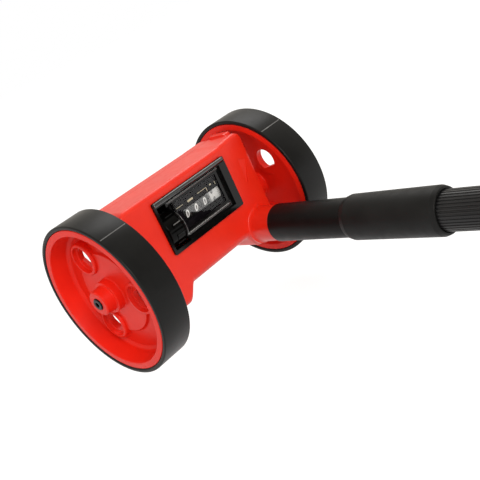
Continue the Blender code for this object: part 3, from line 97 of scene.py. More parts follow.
def ramp(tree, value, low, high, start=0.0, end=1.0):
    """Value mapped from low..high to start..end."""
    step = tree.nodes.new("ShaderNodeMapRange")
    step.inputs["From Min"].default_value = low
    step.inputs["From Max"].default_value = high
    step.inputs["To Min"].default_value = start
    step.inputs["To Max"].default_value = end
    tree.links.new(value, step.inputs["Value"])
    return step.outputs["Result"]


def blend_colours(tree, share, first, second):
    mix = tree.nodes.new("ShaderNodeMix")
    mix.data_type = "RGBA"
    for socket, colour in ((mix.inputs[6], first), (mix.inputs[7], second)):
        if isinstance(colour, tuple):
            socket.default_value = (*colour, 1.0)
        else:
            tree.links.new(colour, socket)
    tree.links.new(share, mix.inputs[0])
    return mix.outputs[2]


def bumps(tree, shader, layers):
    """Bump layers of (height output, depth in metres, share)."""
    normal = None
    for height, depth, share in layers:
        bump = tree.nodes.new("ShaderNodeBump")
        bump.inputs["Strength"].default_value = share
        bump.inputs["Distance"].default_value = depth
        tree.links.new(height, bump.inputs["Height"])
        if normal:
            tree.links.new(normal, bump.inputs["Normal"])
        normal = bump.outputs["Normal"]
    tree.links.new(normal, shader.inputs["Normal"])


def plastic(name, colour, shade, roughness, spread, grain_depth, specular=0.5, coat=0.0):
    """Moulded plastic: slight cloudiness of colour and gloss, fine orange peel and faint waves."""
    made, tree, shader = shader_tree(name)
    cloud = noise(tree, 60.0, 3.0)
    base = blend_colours(tree, ramp(tree, cloud, 0.35, 0.65), colour, shade)
    tree.links.new(base, shader.inputs["Base Color"])
    gloss = ramp(tree, noise(tree, 240.0, 4.0), 0.3, 0.7, roughness - spread, roughness + spread)
    tree.links.new(gloss, shader.inputs["Roughness"])
    shader.inputs["Specular IOR Level"].default_value = specular
    shader.inputs["Coat Weight"].default_value = coat
    shader.inputs["Coat Roughness"].default_value = 0.12
    grain = noise(tree, 1400.0, 2.0)
    waves = noise(tree, 90.0, 1.0)
    bumps(tree, shader, ((grain, grain_depth, 0.5), (waves, 0.0004, 0.06)))
    return made


def metal(name, colour, roughness):
    """Metal with fine cloudy marks."""
    made, tree, shader = shader_tree(name)
    marks = noise(tree, 900.0, 3.0)
    base = blend_colours(tree, marks, colour, tuple(0.8 * part for part in colour))
    tree.links.new(base, shader.inputs["Base Color"])
    tree.links.new(ramp(tree, marks, 0.3, 0.7, roughness * 0.8, roughness * 1.25), shader.inputs["Roughness"])
    shader.inputs["Metallic"].default_value = 1.0
    bumps(tree, shader, ((marks, 0.00003, 0.4),))
    return made


def rubber(name, colour, pale, roughness, grain, specular):
    """Smooth rubber with faint bloom, scuffs along the tread and a fine grain."""
    made, tree, shader = shader_tree(name)
    bloom = ramp(tree, noise(tree, 38.0, 4.0, (1.0, 1.0, 1.0), 0.6), 0.35, 0.75)
    scuff = ramp(tree, noise(tree, 160.0, 5.0, (0.35, 1.0, 1.0), 0.7), 0.62, 0.8)
    base = blend_colours(tree, bloom, grey(colour), grey(pale))
    dusty = blend_colours(tree, scuff, base, grey(1.5 * pale))
    tree.links.new(dusty, shader.inputs["Base Color"])
    gloss = ramp(tree, bloom, 0.0, 1.0, roughness - 0.05, roughness + 0.07)
    tree.links.new(gloss, shader.inputs["Roughness"])
    shader.inputs["Specular IOR Level"].default_value = specular
    bumps(tree, shader, ((noise(tree, 2600.0, 2.0), grain, 0.5), (scuff, 0.00002, 0.3)))
    return made


def clear_plastic(name, mirrored):
    """Thin clear sheet: light passes straight through, apart from the small share that each face mirrors."""
    made, tree, shader = shader_tree(name)
    shader.inputs["Base Color"].default_value = (0.97, 0.98, 0.98, 1.0)
    shader.inputs["Metallic"].default_value = 1.0
    shader.inputs["Alpha"].default_value = mirrored
    tree.links.new(ramp(tree, noise(tree, 120.0, 2.0), 0.3, 0.7, 0.0, 0.012), shader.inputs["Roughness"])
    return made


def grey(value):
    return (value, value, value)


RED = plastic("red_plastic", (0.81, 0.023, 0.007), (0.77, 0.019, 0.006), 0.36, 0.03, 0.00002, 0.42)
HUB_RED = plastic("hub_red_plastic", (0.79, 0.018, 0.007), (0.75, 0.015, 0.006), 0.38, 0.03, 0.00002, 0.2)
BLACK = plastic("black_plastic", (0.010, 0.010, 0.011), (0.014, 0.014, 0.015), 0.42, 0.04, 0.00003)
ALUMINIUM = plastic("black_aluminium", (0.010, 0.010, 0.011), (0.014, 0.014, 0.015), 0.36, 0.04, 0.00002, 0.3)
COLLAR_BLACK = plastic("collar_black", grey(0.005), grey(0.008), 0.48, 0.05, 0.00003, 0.16)
TUBE_BLACK = plastic("satin_black_coat", grey(0.003), grey(0.005), 0.42, 0.05, 0.00003, 0.12)
GLOSS = plastic("gloss_black_plastic", grey(0.0015), grey(0.003), 0.12, 0.03, 0.00001, 0.28)
# Darker, less glossy copy of the gloss black: painted shade that keeps reflections off the bezel's left end
# and the thumbwheel.
GLOSS_PAINTED_SHADE = plastic("gloss_black_painted_shade", grey(0.0012), grey(0.002), 0.12, 0.03, 0.00001, 0.1)
STEP_BLACK = plastic("step_black", grey(0.004), grey(0.006), 0.2, 0.04, 0.00001, 1.0, 0.6)
RUBBER = rubber("tyre_rubber", 0.004, 0.007, 0.38, 0.00002, 0.17)
# Pale rubber of the seam strip on each tread: the seam ridge is real, its pale colour is a painted highlight
# for the streak of light along the tread.
SEAM_PAINTED_HIGHLIGHT = rubber("tyre_seam_highlight", 0.10, 0.15, 0.4, 0.00002, 0.4)
GRIP = rubber("grip_foam", 0.012, 0.022, 0.75, 0.00006, 0.3)
STEEL = metal("steel", (0.56, 0.56, 0.57), 0.3)
DARK_STEEL = metal("blackened_steel", (0.035, 0.035, 0.038), 0.35)
BRONZE = metal("bush_bronze", (0.42, 0.28, 0.13), 0.45)
NYLON = plastic("white_nylon", (0.68, 0.67, 0.62), (0.62, 0.61, 0.56), 0.45, 0.04, 0.00002)
DRUM_BLACK = plastic("drum_black", grey(0.004), grey(0.006), 0.4, 0.03, 0.00001, 0.2)
DRUM_WHITE = plastic("drum_white", grey(0.66), grey(0.62), 0.4, 0.03, 0.00001)
LABEL = plastic("label_face", (0.0038, 0.0030, 0.0045), (0.0045, 0.0036, 0.0052), 0.7, 0.02, 0.000002, 0.02)
CREAM = plastic("cream_print", (0.55, 0.50, 0.36), (0.48, 0.43, 0.30), 0.5, 0.04, 0.00001)
WHITE_INK = plastic("white_print", grey(0.80), grey(0.74), 0.5, 0.03, 0.00001)
# Grey used only for the painted highlight on one thumbwheel rib.
RIB_PAINTED_HIGHLIGHT = plastic("rib_painted_highlight", grey(0.12), grey(0.10), 0.5, 0.03, 0.00001)
DARK_INK = plastic("dark_print", (0.03, 0.03, 0.035), (0.05, 0.05, 0.055), 0.5, 0.03, 0.00001)
CLEAR = clear_plastic("clear_plastic", 0.015)
FILM = clear_plastic("clear_film", 0.058)


# Meshes
def mesh_of(name, points, faces, line):
    mesh = bpy.data.meshes.new(name)
    mesh.from_pydata([line @ Vector(point) for point in points], [], faces)
    tidy_normals(mesh)
    return mesh


def tidy_normals(mesh):
    work = bmesh.new()
    work.from_mesh(mesh)
    bmesh.ops.remove_doubles(work, verts=work.verts, dist=0.000002)
    bmesh.ops.recalc_face_normals(work, faces=work.faces)
    work.to_mesh(mesh)
    work.free()


def rounded(points, closed=True, steps=5):
    """Corners given as (a, b, radius) become arcs; (a, b) stays sharp."""
    made = []
    count = len(points)
    for index, point in enumerate(points):
        here = Vector(point[:2])
        radius = point[2] if len(point) > 2 else 0
        if not radius or (not closed and index in (0, count - 1)):
            made.append(tuple(here))
            continue
        before = Vector(points[index - 1][:2]) - here
        after = Vector(points[(index + 1) % count][:2]) - here
        half = before.angle(after) / 2
        reach = min(radius / math.tan(half), 0.48 * before.length, 0.48 * after.length)
        radius = reach * math.tan(half)
        middle = (before.normalized() + after.normalized()).normalized()
        centre = here + middle * (radius / math.sin(half))
        start = here + before.normalized() * reach - centre
        end = here + after.normalized() * reach - centre
        sweep = start.angle(end)
        for step in range(steps + 1):
            share = step / steps
            arm = start * math.sin((1 - share) * sweep) + end * math.sin(share * sweep)
            made.append(tuple(centre + arm / math.sin(sweep)))
    return made


def on_circle(radius, angle):
    return (radius * math.cos(angle), radius * math.sin(angle))


def turned(name, profile, line, steps):
    """Solid of revolution about the line from (radius, distance) points."""
    points = []
    rings = []
    for radius, distance in profile:
        if radius == 0:
            rings.append([len(points)])
            points.append((0, 0, distance))
            continue
        rings.append(list(range(len(points), len(points) + steps)))
        points += [(*on_circle(radius, TURN * step / steps), distance) for step in range(steps)]
    pairs = list(zip(rings, rings[1:]))
    if all(len(ring) > 1 for ring in rings):
        pairs.append((rings[-1], rings[0]))
    faces = []
    for first, second in pairs:
        for step in range(steps):
            following = (step + 1) % steps
            if len(first) == 1 and len(second) == 1:
                break
            if len(first) == 1:
                faces.append((first[0], second[step], second[following]))
            elif len(second) == 1:
                faces.append((first[step], first[following], second[0]))
            else:
                faces.append((first[step], first[following], second[following], second[step]))
    return mesh_of(name, points, faces, line)


def loft(name, rings, line):
    """Closed skin through rings of points, one after another."""
    count = len(rings[0])
    points = [point for ring in rings for point in ring]
    last = len(points) - 1
    faces = [tuple(range(count)), tuple(range(last, last - count, -1))]
    for start in range(0, len(points) - count, count):
        for index in range(count):
            following = (index + 1) % count
            faces.append((start + index, start + following, start + count + following, start + count + index))
    return mesh_of(name, points, faces, line)


def prism(name, outline, low, high, line):
    """Outline extruded from low to high along the line."""
    return loft(name, [[(x, y, height) for x, y in outline] for height in (low, high)], line)


def circle(radius, steps, centre=(0, 0)):
    arms = [on_circle(radius, TURN * step / steps) for step in range(steps)]
    return [(centre[0] + x, centre[1] + y) for x, y in arms]


def rectangle(left, right, low, high, radius):
    corners = [(right, high, radius), (left, high, radius), (left, low, radius), (right, low, radius)]
    return rounded(corners, True, 6)


def block(name, low, high):
    outline = [(low[0], low[1]), (high[0], low[1]), (high[0], high[1]), (low[0], high[1])]
    return prism(name, outline, low[2], high[2], FACE)


def placed(name, mesh):
    made = bpy.data.objects.new(name, mesh)
    bpy.context.scene.collection.objects.link(made)
    return made


def settled(target):
    """Modifiers of the object applied to its mesh."""
    graph = bpy.context.evaluated_depsgraph_get()
    mesh = bpy.data.meshes.new_from_object(target.evaluated_get(graph))
    target.modifiers.clear()
    target.data = mesh
    return target


def carved(name, base, steps):
    """Base mesh with unions and cuts made one after another."""
    target = placed(name, base)
    helpers = []
    for index, (operation, mesh) in enumerate(steps):
        helper = placed(name + "_helper_" + str(index), mesh)
        helpers.append(helper)
        change = target.modifiers.new("change", "BOOLEAN")
        change.operation = operation
        change.solver = "MANIFOLD"
        change.object = helper
    settled(target)
    for helper in helpers:
        bpy.data.objects.remove(helper, do_unlink=True)
    return target


def softened(target, width, segments, angle):
    """Rounded edges and smooth shading."""
    edge = target.modifiers.new("edges", "BEVEL")
    edge.width = width * MM
    edge.segments = segments
    edge.limit_method = "ANGLE"
    edge.angle_limit = math.radians(angle)
    edge.use_clamp_overlap = True
    settled(target)
    target.data.shade_smooth()
    normals = target.modifiers.new("normals", "WEIGHTED_NORMAL")
    normals.weight = 80
    normals.keep_sharp = True
    return target


def finished(target, look, body, nodes=(), sharp=None):
    """Give the piece its material and its body, and let it stand for its nodes."""
    if isinstance(target, bpy.types.Mesh):
        target = placed(target.name, target)
    target.data.materials.clear()
    target.data.materials.append(look)
    target.data.shade_smooth()
    if sharp:
        target.data.set_sharp_from_angle(angle=math.radians(sharp))
    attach(target, body)
    if nodes:
        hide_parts(*nodes)
    return target


# Wheels
LEFT_WHEEL_TURN = 24.6
RIGHT_WHEEL_TURN = -130.3
# Angles of the seam strips, set where each tread shows its streak of light: the strip's paleness is a painted
# highlight.
LEFT_SEAM_HIGHLIGHT = -0.672
RIGHT_SEAM_HIGHLIGHT = -2.42
HUB_BORE = 2.8
HUB_BACK = 59.6
BACK_BOSS = 9.5
WEB_BACK = 70.45
WEB_BACK_EDGE = 66.95
WEB_BACK_RADIUS = 42.4
RIM_INSIDE = 45.85
RIM_OUTSIDE = 50.15
RIM_BACK = 61.55
RIM_FRONT = 82.75
DISH_EDGE = (44.1, 71.0, 2.0)
DISH_FLOOR = (42.0, 69.42, 1.2)
PLATE_FOOT = (28.9, 71.0, 1.5)
PLATE_RADIUS = 28.0
PLATE_FRONT = 72.95
BOSS_RADIUS = 10.8
BOSS_SHOULDER = 78.35
BOSS_NECK = 9.0
BOSS_TIP = 85.35
SCREW_SEAT = 82.65
SEAT_RADIUS = 4.0
POCKETS = 3
POCKET_CIRCLE = 27.4
POCKET_RIM = 11.2
POCKET_RIM_FRONT = 74.95
POCKET_RIM_BACK = 68.85
POCKET_RADIUS = 9.3
POCKET_FLOOR = 71.55
PAST_POCKET = 78.0
HOLE_RADIUS = 7.9
HOLE_FLAT = 5.6
HOLE_STEPS = 40
TYRE_RADIUS = 53.05
TYRE_BORE = 50.45
TYRE_BACK = 61.15
TYRE_FRONT = 83.15
SEAM_HIGHLIGHT_HALF_ANGLE = 0.006
SEAM_HIGHLIGHT_START = 62.2
SEAM_HIGHLIGHT_END = 82.1
SCREW_FRONT = 86.15
SCREW_HEAD = 3.7
SCREW_SHANK = 1.4
SCREW_END = 70.95
SOCKET_RADIUS = 1.9
SOCKET_FLOOR = 84.25


def hub_profile():
    """Outline from the bore round the back, the rim, the dish, the plate and the boss."""
    return rounded([
        (HUB_BORE, HUB_BACK, 0.3), (BACK_BOSS, HUB_BACK, 0.5), (BACK_BOSS, WEB_BACK, 1.0),
        (WEB_BACK_RADIUS, WEB_BACK_EDGE, 1.2), (RIM_INSIDE - 0.8, WEB_BACK_EDGE, 0.8),
        (RIM_INSIDE, RIM_BACK, 0.4), (RIM_OUTSIDE, RIM_BACK, 0.4), (RIM_OUTSIDE, RIM_FRONT, 0.5),
        (RIM_INSIDE, RIM_FRONT, 0.7), DISH_EDGE, DISH_FLOOR, PLATE_FOOT,
        (PLATE_RADIUS, PLATE_FRONT, 0.7), (BOSS_RADIUS + 0.1, PLATE_FRONT, 0.7),
        (BOSS_RADIUS, BOSS_SHOULDER, 0.5), (BOSS_NECK, BOSS_SHOULDER, 0.5),
        (BOSS_NECK - 0.8, BOSS_TIP - 0.55, 0.2), (BOSS_NECK - 1.6, BOSS_TIP, 0.7),
        (SEAT_RADIUS, BOSS_TIP, 0.25), (SEAT_RADIUS, SCREW_SEAT, 0.2), (HUB_BORE, SCREW_SEAT, 0.2),
    ], True, 5)


def d_hole(angle):
    """Round hole with one flat side, which leans a third of a turn from the pocket's own arm."""
    x, y = on_circle(POCKET_CIRCLE, angle)
    half = math.acos(HOLE_FLAT / HOLE_RADIUS)
    start = angle + math.radians(120) + half
    span = TURN - 2 * half
    arms = [on_circle(HOLE_RADIUS, start + span * step / HOLE_STEPS) for step in range(HOLE_STEPS + 1)]
    return [(x + across, y + along) for across, along in arms]


def make_hub(side, spun):
    steps = []
    for index in range(POCKETS):
        angle = TURN * index / POCKETS
        spot = spun @ Matrix.Translation((*on_circle(POCKET_CIRCLE, angle), 0))
        ring = rounded([
            (0, POCKET_RIM_FRONT), (POCKET_RIM, POCKET_RIM_FRONT, 1.4),
            (POCKET_RIM + 0.4, POCKET_RIM_BACK, 0.3), (0, POCKET_RIM_BACK),
        ], False)
        recess = rounded([
            (0, PAST_POCKET), (POCKET_RADIUS, PAST_POCKET),
            (POCKET_RADIUS - 0.2, POCKET_FLOOR, 0.8), (0, POCKET_FLOOR),
        ], False)
        steps.append(("UNION", turned("ring", ring, spot, 64)))
        steps.append(("DIFFERENCE", turned("recess", recess, spot, 64)))
        steps.append(("DIFFERENCE", prism("hole", d_hole(angle), 60.0, 80.0, spun)))
    name = side + "_wheel_centre"
    hub = carved(name, turned(name, hub_profile(), spun, 144), steps)
    softened(hub, 0.55, 3, 30)
    finished(hub, HUB_RED, "wheel_set", (side + "_wheel_hub",))


def make_tyre(side, line, seam_highlight_at):
    profile = rounded([
        (TYRE_BORE, TYRE_BACK + 0.6, 0.3), (TYRE_BORE + 0.6, TYRE_BACK, 0.2),
        (TYRE_RADIUS, TYRE_BACK, 0.9), (TYRE_RADIUS, TYRE_FRONT, 0.9),
        (TYRE_BORE + 0.7, TYRE_FRONT, 0.25), (TYRE_BORE + 0.3, TYRE_FRONT - 0.4, 0.2),
        (TYRE_BORE, TYRE_FRONT - 0.6, 0.2),
    ], True, 5)
    tread = turned(side + "_tyre_tread", profile, line, 192)
    finished(tread, RUBBER, "wheel_set", (side + "_tyre",))
    # Thin raised seam across the tread in pale rubber; the paleness is a painted highlight lying where the
    # light streaks along the tread.
    under = TYRE_RADIUS - 0.03
    over = TYRE_RADIUS + 0.07
    path = [(under, SEAM_HIGHLIGHT_START), (over, SEAM_HIGHLIGHT_START + 0.1), (over, SEAM_HIGHLIGHT_END - 0.1), (under, SEAM_HIGHLIGHT_END)]
    points = [(*on_circle(radius, angle), distance) for radius, distance in path
              for angle in (seam_highlight_at - SEAM_HIGHLIGHT_HALF_ANGLE, seam_highlight_at + SEAM_HIGHLIGHT_HALF_ANGLE)]
    strip = mesh_of(side + "_tyre_seam_highlight", points, [(0, 1, 3, 2), (2, 3, 5, 4), (4, 5, 7, 6)], line)
    finished(strip, SEAM_PAINTED_HIGHLIGHT, "wheel_set", sharp=30)


def make_hub_screw(side, line):
    under = SCREW_SEAT + 0.3
    profile = rounded([
        (0, SCREW_FRONT), (SCREW_HEAD, SCREW_FRONT, 0.45), (SCREW_HEAD, under, 0.2),
        (SCREW_SHANK, under), (SCREW_SHANK, SCREW_END, 0.3), (0, SCREW_END),
    ], False)
    socket = prism("socket", circle(SOCKET_RADIUS, 6), SOCKET_FLOOR, SCREW_FRONT + 1.85, line)
    name = side + "_hub_screw"
    head = carved(name, turned(name, profile, line, 48), [("DIFFERENCE", socket)])
    softened(head, 0.15, 2, 50)
    finished(head, DARK_STEEL, "wheel_set", (side + "_wheel_screw",))


def make_wheel(side, line, turn, seam_highlight_at):
    make_hub(side, line @ Matrix.Rotation(math.radians(turn), 4, "Z"))
    make_tyre(side, line, seam_highlight_at)
    make_hub_screw(side, line)


# Housing
BODY_HALF = 56.5
BODY_BACK = -22.3
BODY_FRONT = 20.2
BODY_TOP = 44.0
BODY_LOW = -21.6
END_ROUNDING = 5.0
SOFT_CORNER = 6.0
TOP_CORNER = 3.0
LEAST_CORNER = 0.3
FLARE_START = 26.8
FLARE_RUN = 10.0
FLARE_DROP = 10.0
SWELL_START = 32.0
SWELL_RUN = 13.0
SWELL_RISE = 2.0
STATION_START = 26.0
STATION_RUN = 12.0
STATIONS = 28
WALL = 2.5
CAVITY_HALF = 53.5
CAVITY_ROUNDING = 2.0
SPLIT_FRONT = -7.85
SPLIT_BACK = -8.15
FAR = 90
BUSH_BOSS = (7.4, 49.0, 54.1)
BUSH_BORE = (5.3, 47.0, 58.5)
COVER_SCREWS = ((-46.0, 36.0), (46.0, 36.0), (-30.0, -13.5), (30.0, -13.5))
POST = 3.7
SCREW_HOLE = 1.7
HEAD_HOLE = 3.2
INSIDE_FRONT = 18.3
INSIDE_BACK = -21.7
BEHIND_BACK = -24.3
OPENING_LOW = (-31.4, 3.1, 15.7)
OPENING_HIGH = (31.4, 37.3, 22.2)
NECK_FOOT = 13.5
NECK_RADIUS = 12.1
NECK_FILLET = 4.0
NECK_END = 37.3
SPIGOT_RADIUS = 10.3
SPIGOT_END = 61.3
SHOULDER_LEFT = 50.9
SHOULDER_RIGHT = 56.1
SHOULDER_LOW = 42.1
SHOULDER_TOP = 46.8
WEDGE_CORNERS = ((45.8, 10.8, 19.0), (52.7, 26.9, 20.0), (45.8, 29.3, 19.0))
WEDGE_CLEAR = 22.0


def smooth_step(value):
    value = min(max(value, 0.0), 1.0)
    return value * value * (3 - 2 * value)


def body_section(x, wall, rounding):
    """Closed outline of the housing in (front, up) at a distance along the axle."""
    flare = smooth_step((abs(x) - FLARE_START) / FLARE_RUN)
    swell = smooth_step((x - SWELL_START) / SWELL_RUN)
    inset = wall + rounding
    soft = max(SOFT_CORNER - inset, LEAST_CORNER * SOFT_CORNER)
    top_corner = max(TOP_CORNER - inset, LEAST_CORNER * TOP_CORNER)
    back = BODY_BACK + inset
    front = BODY_FRONT - wall - 0.12 * rounding
    low = BODY_LOW - FLARE_DROP * flare + inset
    top = BODY_TOP - inset
    swollen = top + SWELL_RISE * swell
    corners = [(back, top, soft), (back, low, soft), (front, low, soft), (front, swollen, top_corner)]
    return rounded(corners, True, 8)


def body_skin(name, half, rounding, wall):
    """Housing skin whose ends are rounded, as the outside or, with a wall, as the inside."""
    stations = [(0.0, 0.0)]
    stations += [(STATION_START + STATION_RUN * index / STATIONS, 0.0) for index in range(STATIONS + 1)]
    for index in range(9):
        across, along = on_circle(rounding, TURN / 4 * index / 8)
        stations.append((half - rounding + along, rounding - across))
    stations = [(-x, inset) for x, inset in reversed(stations[1:])] + stations
    rings = [[(x, up, front) for front, up in body_section(x, wall, inset)] for x, inset in stations]
    return loft(name, rings, FACE)


def cavity():
    return body_skin("cavity", CAVITY_HALF, CAVITY_ROUNDING, WALL)


def rod(name, line, radius, start, end, steps):
    return turned(name, [(0, start), (radius, start), (radius, end), (0, end)], line, steps)


def post(radius, start, end, place):
    return rod("post", FACE @ Matrix.Translation((*place, 0)), radius, start, end, 40)


def neck():
    """Stub with a hollow fillet where it leaves the front face."""
    fillet = []
    for step in range(9):
        across, along = on_circle(1.0, TURN / 4 * step / 8)
        radius = NECK_FOOT - (NECK_FOOT - NECK_RADIUS) * along
        fillet.append((radius, BODY_FRONT + NECK_FILLET * (1 - across)))
    profile = rounded([(0, INSIDE_FRONT), (NECK_FOOT, INSIDE_FRONT)] + fillet + [
        (NECK_RADIUS, NECK_END, 0.3), (SPIGOT_RADIUS, NECK_END, 0.2),
        (SPIGOT_RADIUS, SPIGOT_END, 0.4), (0, SPIGOT_END)], False)
    return turned("neck", profile, HANDLE, 96)


def shoulder():
    """Raised shoulder at the top right end."""
    outline = rounded([
        (-4.0, SHOULDER_LOW), (12.4, SHOULDER_LOW), (12.0, SHOULDER_TOP, 2.0), (-4.0, SHOULDER_TOP, 1.0),
    ], True, 6)
    ends = [[(x, up, front) for front, up in outline] for x in (SHOULDER_LEFT, SHOULDER_RIGHT)]
    return loft("shoulder", ends, FACE)


def wedge():
    """Three-cornered recess whose floor slopes up toward the end of the housing."""
    points = [*WEDGE_CORNERS] + [(x, up, WEDGE_CLEAR) for x, up, front in WEDGE_CORNERS]
    faces = [(0, 1, 2), (5, 4, 3), (0, 3, 4, 1), (1, 4, 5, 2), (2, 5, 3, 0)]
    return mesh_of("wedge", points, faces, FACE)


def make_housing():
    front_steps = [
        ("INTERSECT", block("front_side", (-FAR, -FAR, SPLIT_FRONT), (FAR, FAR, FAR))),
        ("DIFFERENCE", cavity()),
    ]
    for line in (LEFT, RIGHT):
        front_steps.append(("UNION", rod("boss", line, *BUSH_BOSS, 48)))
        front_steps.append(("DIFFERENCE", rod("bore", line, *BUSH_BORE, 48)))
    for place in COVER_SCREWS:
        front_steps.append(("UNION", post(POST, SPLIT_FRONT, INSIDE_FRONT, place)))
        front_steps.append(("DIFFERENCE", post(SCREW_HOLE, -10.0, -0.8, place)))
    front_steps += [
        ("UNION", neck()),
        ("UNION", shoulder()),
        ("DIFFERENCE", block("opening", OPENING_LOW, OPENING_HIGH)),
        ("DIFFERENCE", wedge()),
    ]
    front = carved("housing_front", body_skin("housing_front", BODY_HALF, END_ROUNDING, 0.0), front_steps)
    softened(front, 0.45, 3, 32)
    finished(front, RED, "housing", ("front_housing",))
    back_steps = [
        ("INTERSECT", block("back_side", (-FAR, -FAR, -FAR), (FAR, FAR, SPLIT_BACK))),
        ("DIFFERENCE", cavity()),
    ]
    for place in COVER_SCREWS:
        back_steps.append(("UNION", post(POST, INSIDE_BACK, SPLIT_BACK, place)))
        back_steps.append(("DIFFERENCE", post(SCREW_HOLE, BEHIND_BACK, -6.0, place)))
        back_steps.append(("DIFFERENCE", post(HEAD_HOLE, BEHIND_BACK, -19.1, place)))
    back = carved("housing_back", body_skin("housing_back", BODY_HALF, END_ROUNDING, 0.0), back_steps)
    softened(back, 0.4, 2, 32)
    finished(back, RED, "housing", ("rear_cover",))


# Counter
BEZEL_BACK = 20.5
BEZEL_FRONT = 22.0
SKIRT_BACK = 15.6
STEP_LEVEL = 19.9
LEDGE_LEVEL = 19.4
BEHIND_BEZEL = 14.0
BEFORE_BEZEL = 26.0
SLOT_LEFT = -31.5
SLOT_RIGHT = -17.7
SLOT_TOP = 31.5
# Bezel faces left of this take the darker copy of the black, as painted shade.
PAINTED_SHADE_LEFT = -24.0
RIB_PITCH = 0.9
BAR_FRONT = 20.9
PANE = (-17.1, 24.6, 9.0, 30.6, 0.4)
PANE_BACK = 17.6
PANE_FRONT = 18.8
LABEL_BACK = 16.9
LABEL_FRONT = 17.3
PRINT_DEPTH = 0.06
ROW_SLOT = (-11.4, 23.49, 14.9, 21.9, 0.4)
ROW_FILM = (-11.3, 23.4, 15.0, 21.8, 0.3)
LABEL_MARKS = (
    ("mark_left", 0.35, ((-16.2, 25.5), (-8.9, 25.4))),
    ("mark_right", 0.35, ((5.1, 25.6), (13.7, 25.6))),
    ("mark_drop", 0.35, ((13.6, 25.6), (13.6, 22.8))),
    ("mark_patch", 1.3, ((-4.6, 25.1), (0.4, 25.1))),
    ("mark_small_patch", 1.0, ((17.0, 25.6), (18.6, 25.6))),
    ("mark_tick", 0.45, ((22.0, 25.9), (22.0, 23.6))),
)
DRUMS = 4
FIRST_DRUM = -10.7
DRUM_PITCH = 8.33
DRUM_WIDTH = 5.6
LAST_DRUM_WIDTH = 9.2
DRUM_RADIUS = 10.2
DRUM_PRINT = 10.202
DRUM_BORE = 1.8
TICKS = 50
TICK_HALF_ANGLE = 0.011
THUMB_BACK = -31.0
THUMB_RIM = -19.6
THUMB_FRONT = -18.0
THUMB_RIBS = 10
THUMB_RIB_TURN = math.radians(14.3)
RIB_SHAPE = ((10.9, -0.075), (11.85, -0.05), (11.95, 0.0), (11.85, 0.05), (10.9, 0.075))
# Angle and half width of the painted highlight on one rib, in degrees.
PAINTED_HIGHLIGHT_RIB = -21.7
PAINTED_HIGHLIGHT_RIB_HALF = 1.6


def capsule(name, start, end, radius, up, front):
    """Rounded bar along the axle direction."""
    line = TOOL @ at(0, front, up) @ ALONG_X @ UNIT
    corner = radius * 0.9
    profile = rounded([(0, start), (radius, start, corner), (radius, end, corner), (0, end)], False)
    return turned(name, profile, line, 40)


def make_bezel():
    base = prism("counter_surround", rectangle(-33.4, 33.4, 2.1, 38.3, 1.2), BEZEL_BACK, BEZEL_FRONT, FACE)
    skirt = prism("skirt", rectangle(-31.1, 31.1, 3.4, 37.0, 0.3), SKIRT_BACK, BEZEL_BACK + 0.3, FACE)
    cuts = (
        ("recess", (-22.9, 5.3, STEP_LEVEL), (27.4, 34.5, BEFORE_BEZEL)),
        ("ledge", (-16.9, 9.8, LEDGE_LEVEL), (25.8, 31.5, 21.0)),
        ("view", (-16.4, 10.6, BEHIND_BEZEL), (23.2, 30.3, 20.4)),
        ("seat", (-17.7, 8.7, BEHIND_BEZEL), (24.9, 30.9, 19.1)),
        ("slot", (SLOT_LEFT, 4.6, BEHIND_BEZEL), (SLOT_RIGHT, SLOT_TOP, BEFORE_BEZEL)),
        ("slot_top", (SLOT_LEFT, 30.0, BEHIND_BEZEL), (-24.4, 34.3, BEFORE_BEZEL)),
        ("pocket", (SLOT_LEFT, 3.3, BEHIND_BEZEL), (SLOT_RIGHT, SLOT_TOP, 20.2)),
    )
    steps = [("UNION", skirt)] + [("DIFFERENCE", block(*cut)) for cut in cuts]
    bezel = carved("counter_surround", base, steps)
    softened(bezel, 0.3, 3, 35)
    finished(bezel, GLOSS, "housing", ("counter_bezel",))
    # Faces at the left end of the bezel take the darker, less glossy copy of the black: painted shade where
    # that end reflects dark.
    bezel.data.materials.append(GLOSS_PAINTED_SHADE)
    for face in bezel.data.polygons:
        if face.center.x < PAINTED_SHADE_LEFT * MM:
            face.material_index = 1
    finished(capsule("bar", -32.9, 32.6, 1.7, 36.4, 21.4), STEP_BLACK, "housing")
    make_ribbed_bar("upper_bar", -22.5, 26.7, 31.9, 34.1)
    make_ribbed_bar("lower_bar", -17.2, 24.8, 6.4, 9.4)


def make_ribbed_bar(name, left, right, low, high):
    """Round bar on the step round the window, with fine rings along it."""
    radius = (high - low) / 2
    count = round((right - left - 2 * radius) / RIB_PITCH)
    pitch = (right - left - 2 * radius) / count
    profile = [(0, left), (radius * 0.7, left, radius * 0.5), (radius, left + radius, 0.3)]
    for index in range(count):
        here = left + radius + index * pitch
        profile += [(radius, here + 0.1 * pitch), (radius, here + 0.6 * pitch)]
        profile.append((radius * 0.9, here + 0.85 * pitch))
    profile += [(radius, right - radius, 0.3), (radius * 0.7, right, radius * 0.5), (0, right)]
    line = TOOL @ at(0, BAR_FRONT - radius, (low + high) / 2) @ ALONG_X @ UNIT
    finished(turned(name, rounded(profile, False, 3), line, 32), STEP_BLACK, "housing", sharp=50)


def stroke(name, width, ends):
    """Flat printed stroke between two points of the label's face."""
    start, end = (Vector(point) for point in ends)
    along = (end - start).normalized()
    side = Vector((-along.y, along.x)) * width / 2
    outline = [tuple(point) for point in (start + side, end + side, end - side, start - side)]
    finished(prism(name, outline, LABEL_FRONT, LABEL_FRONT + PRINT_DEPTH, FACE), CREAM, "housing", sharp=30)


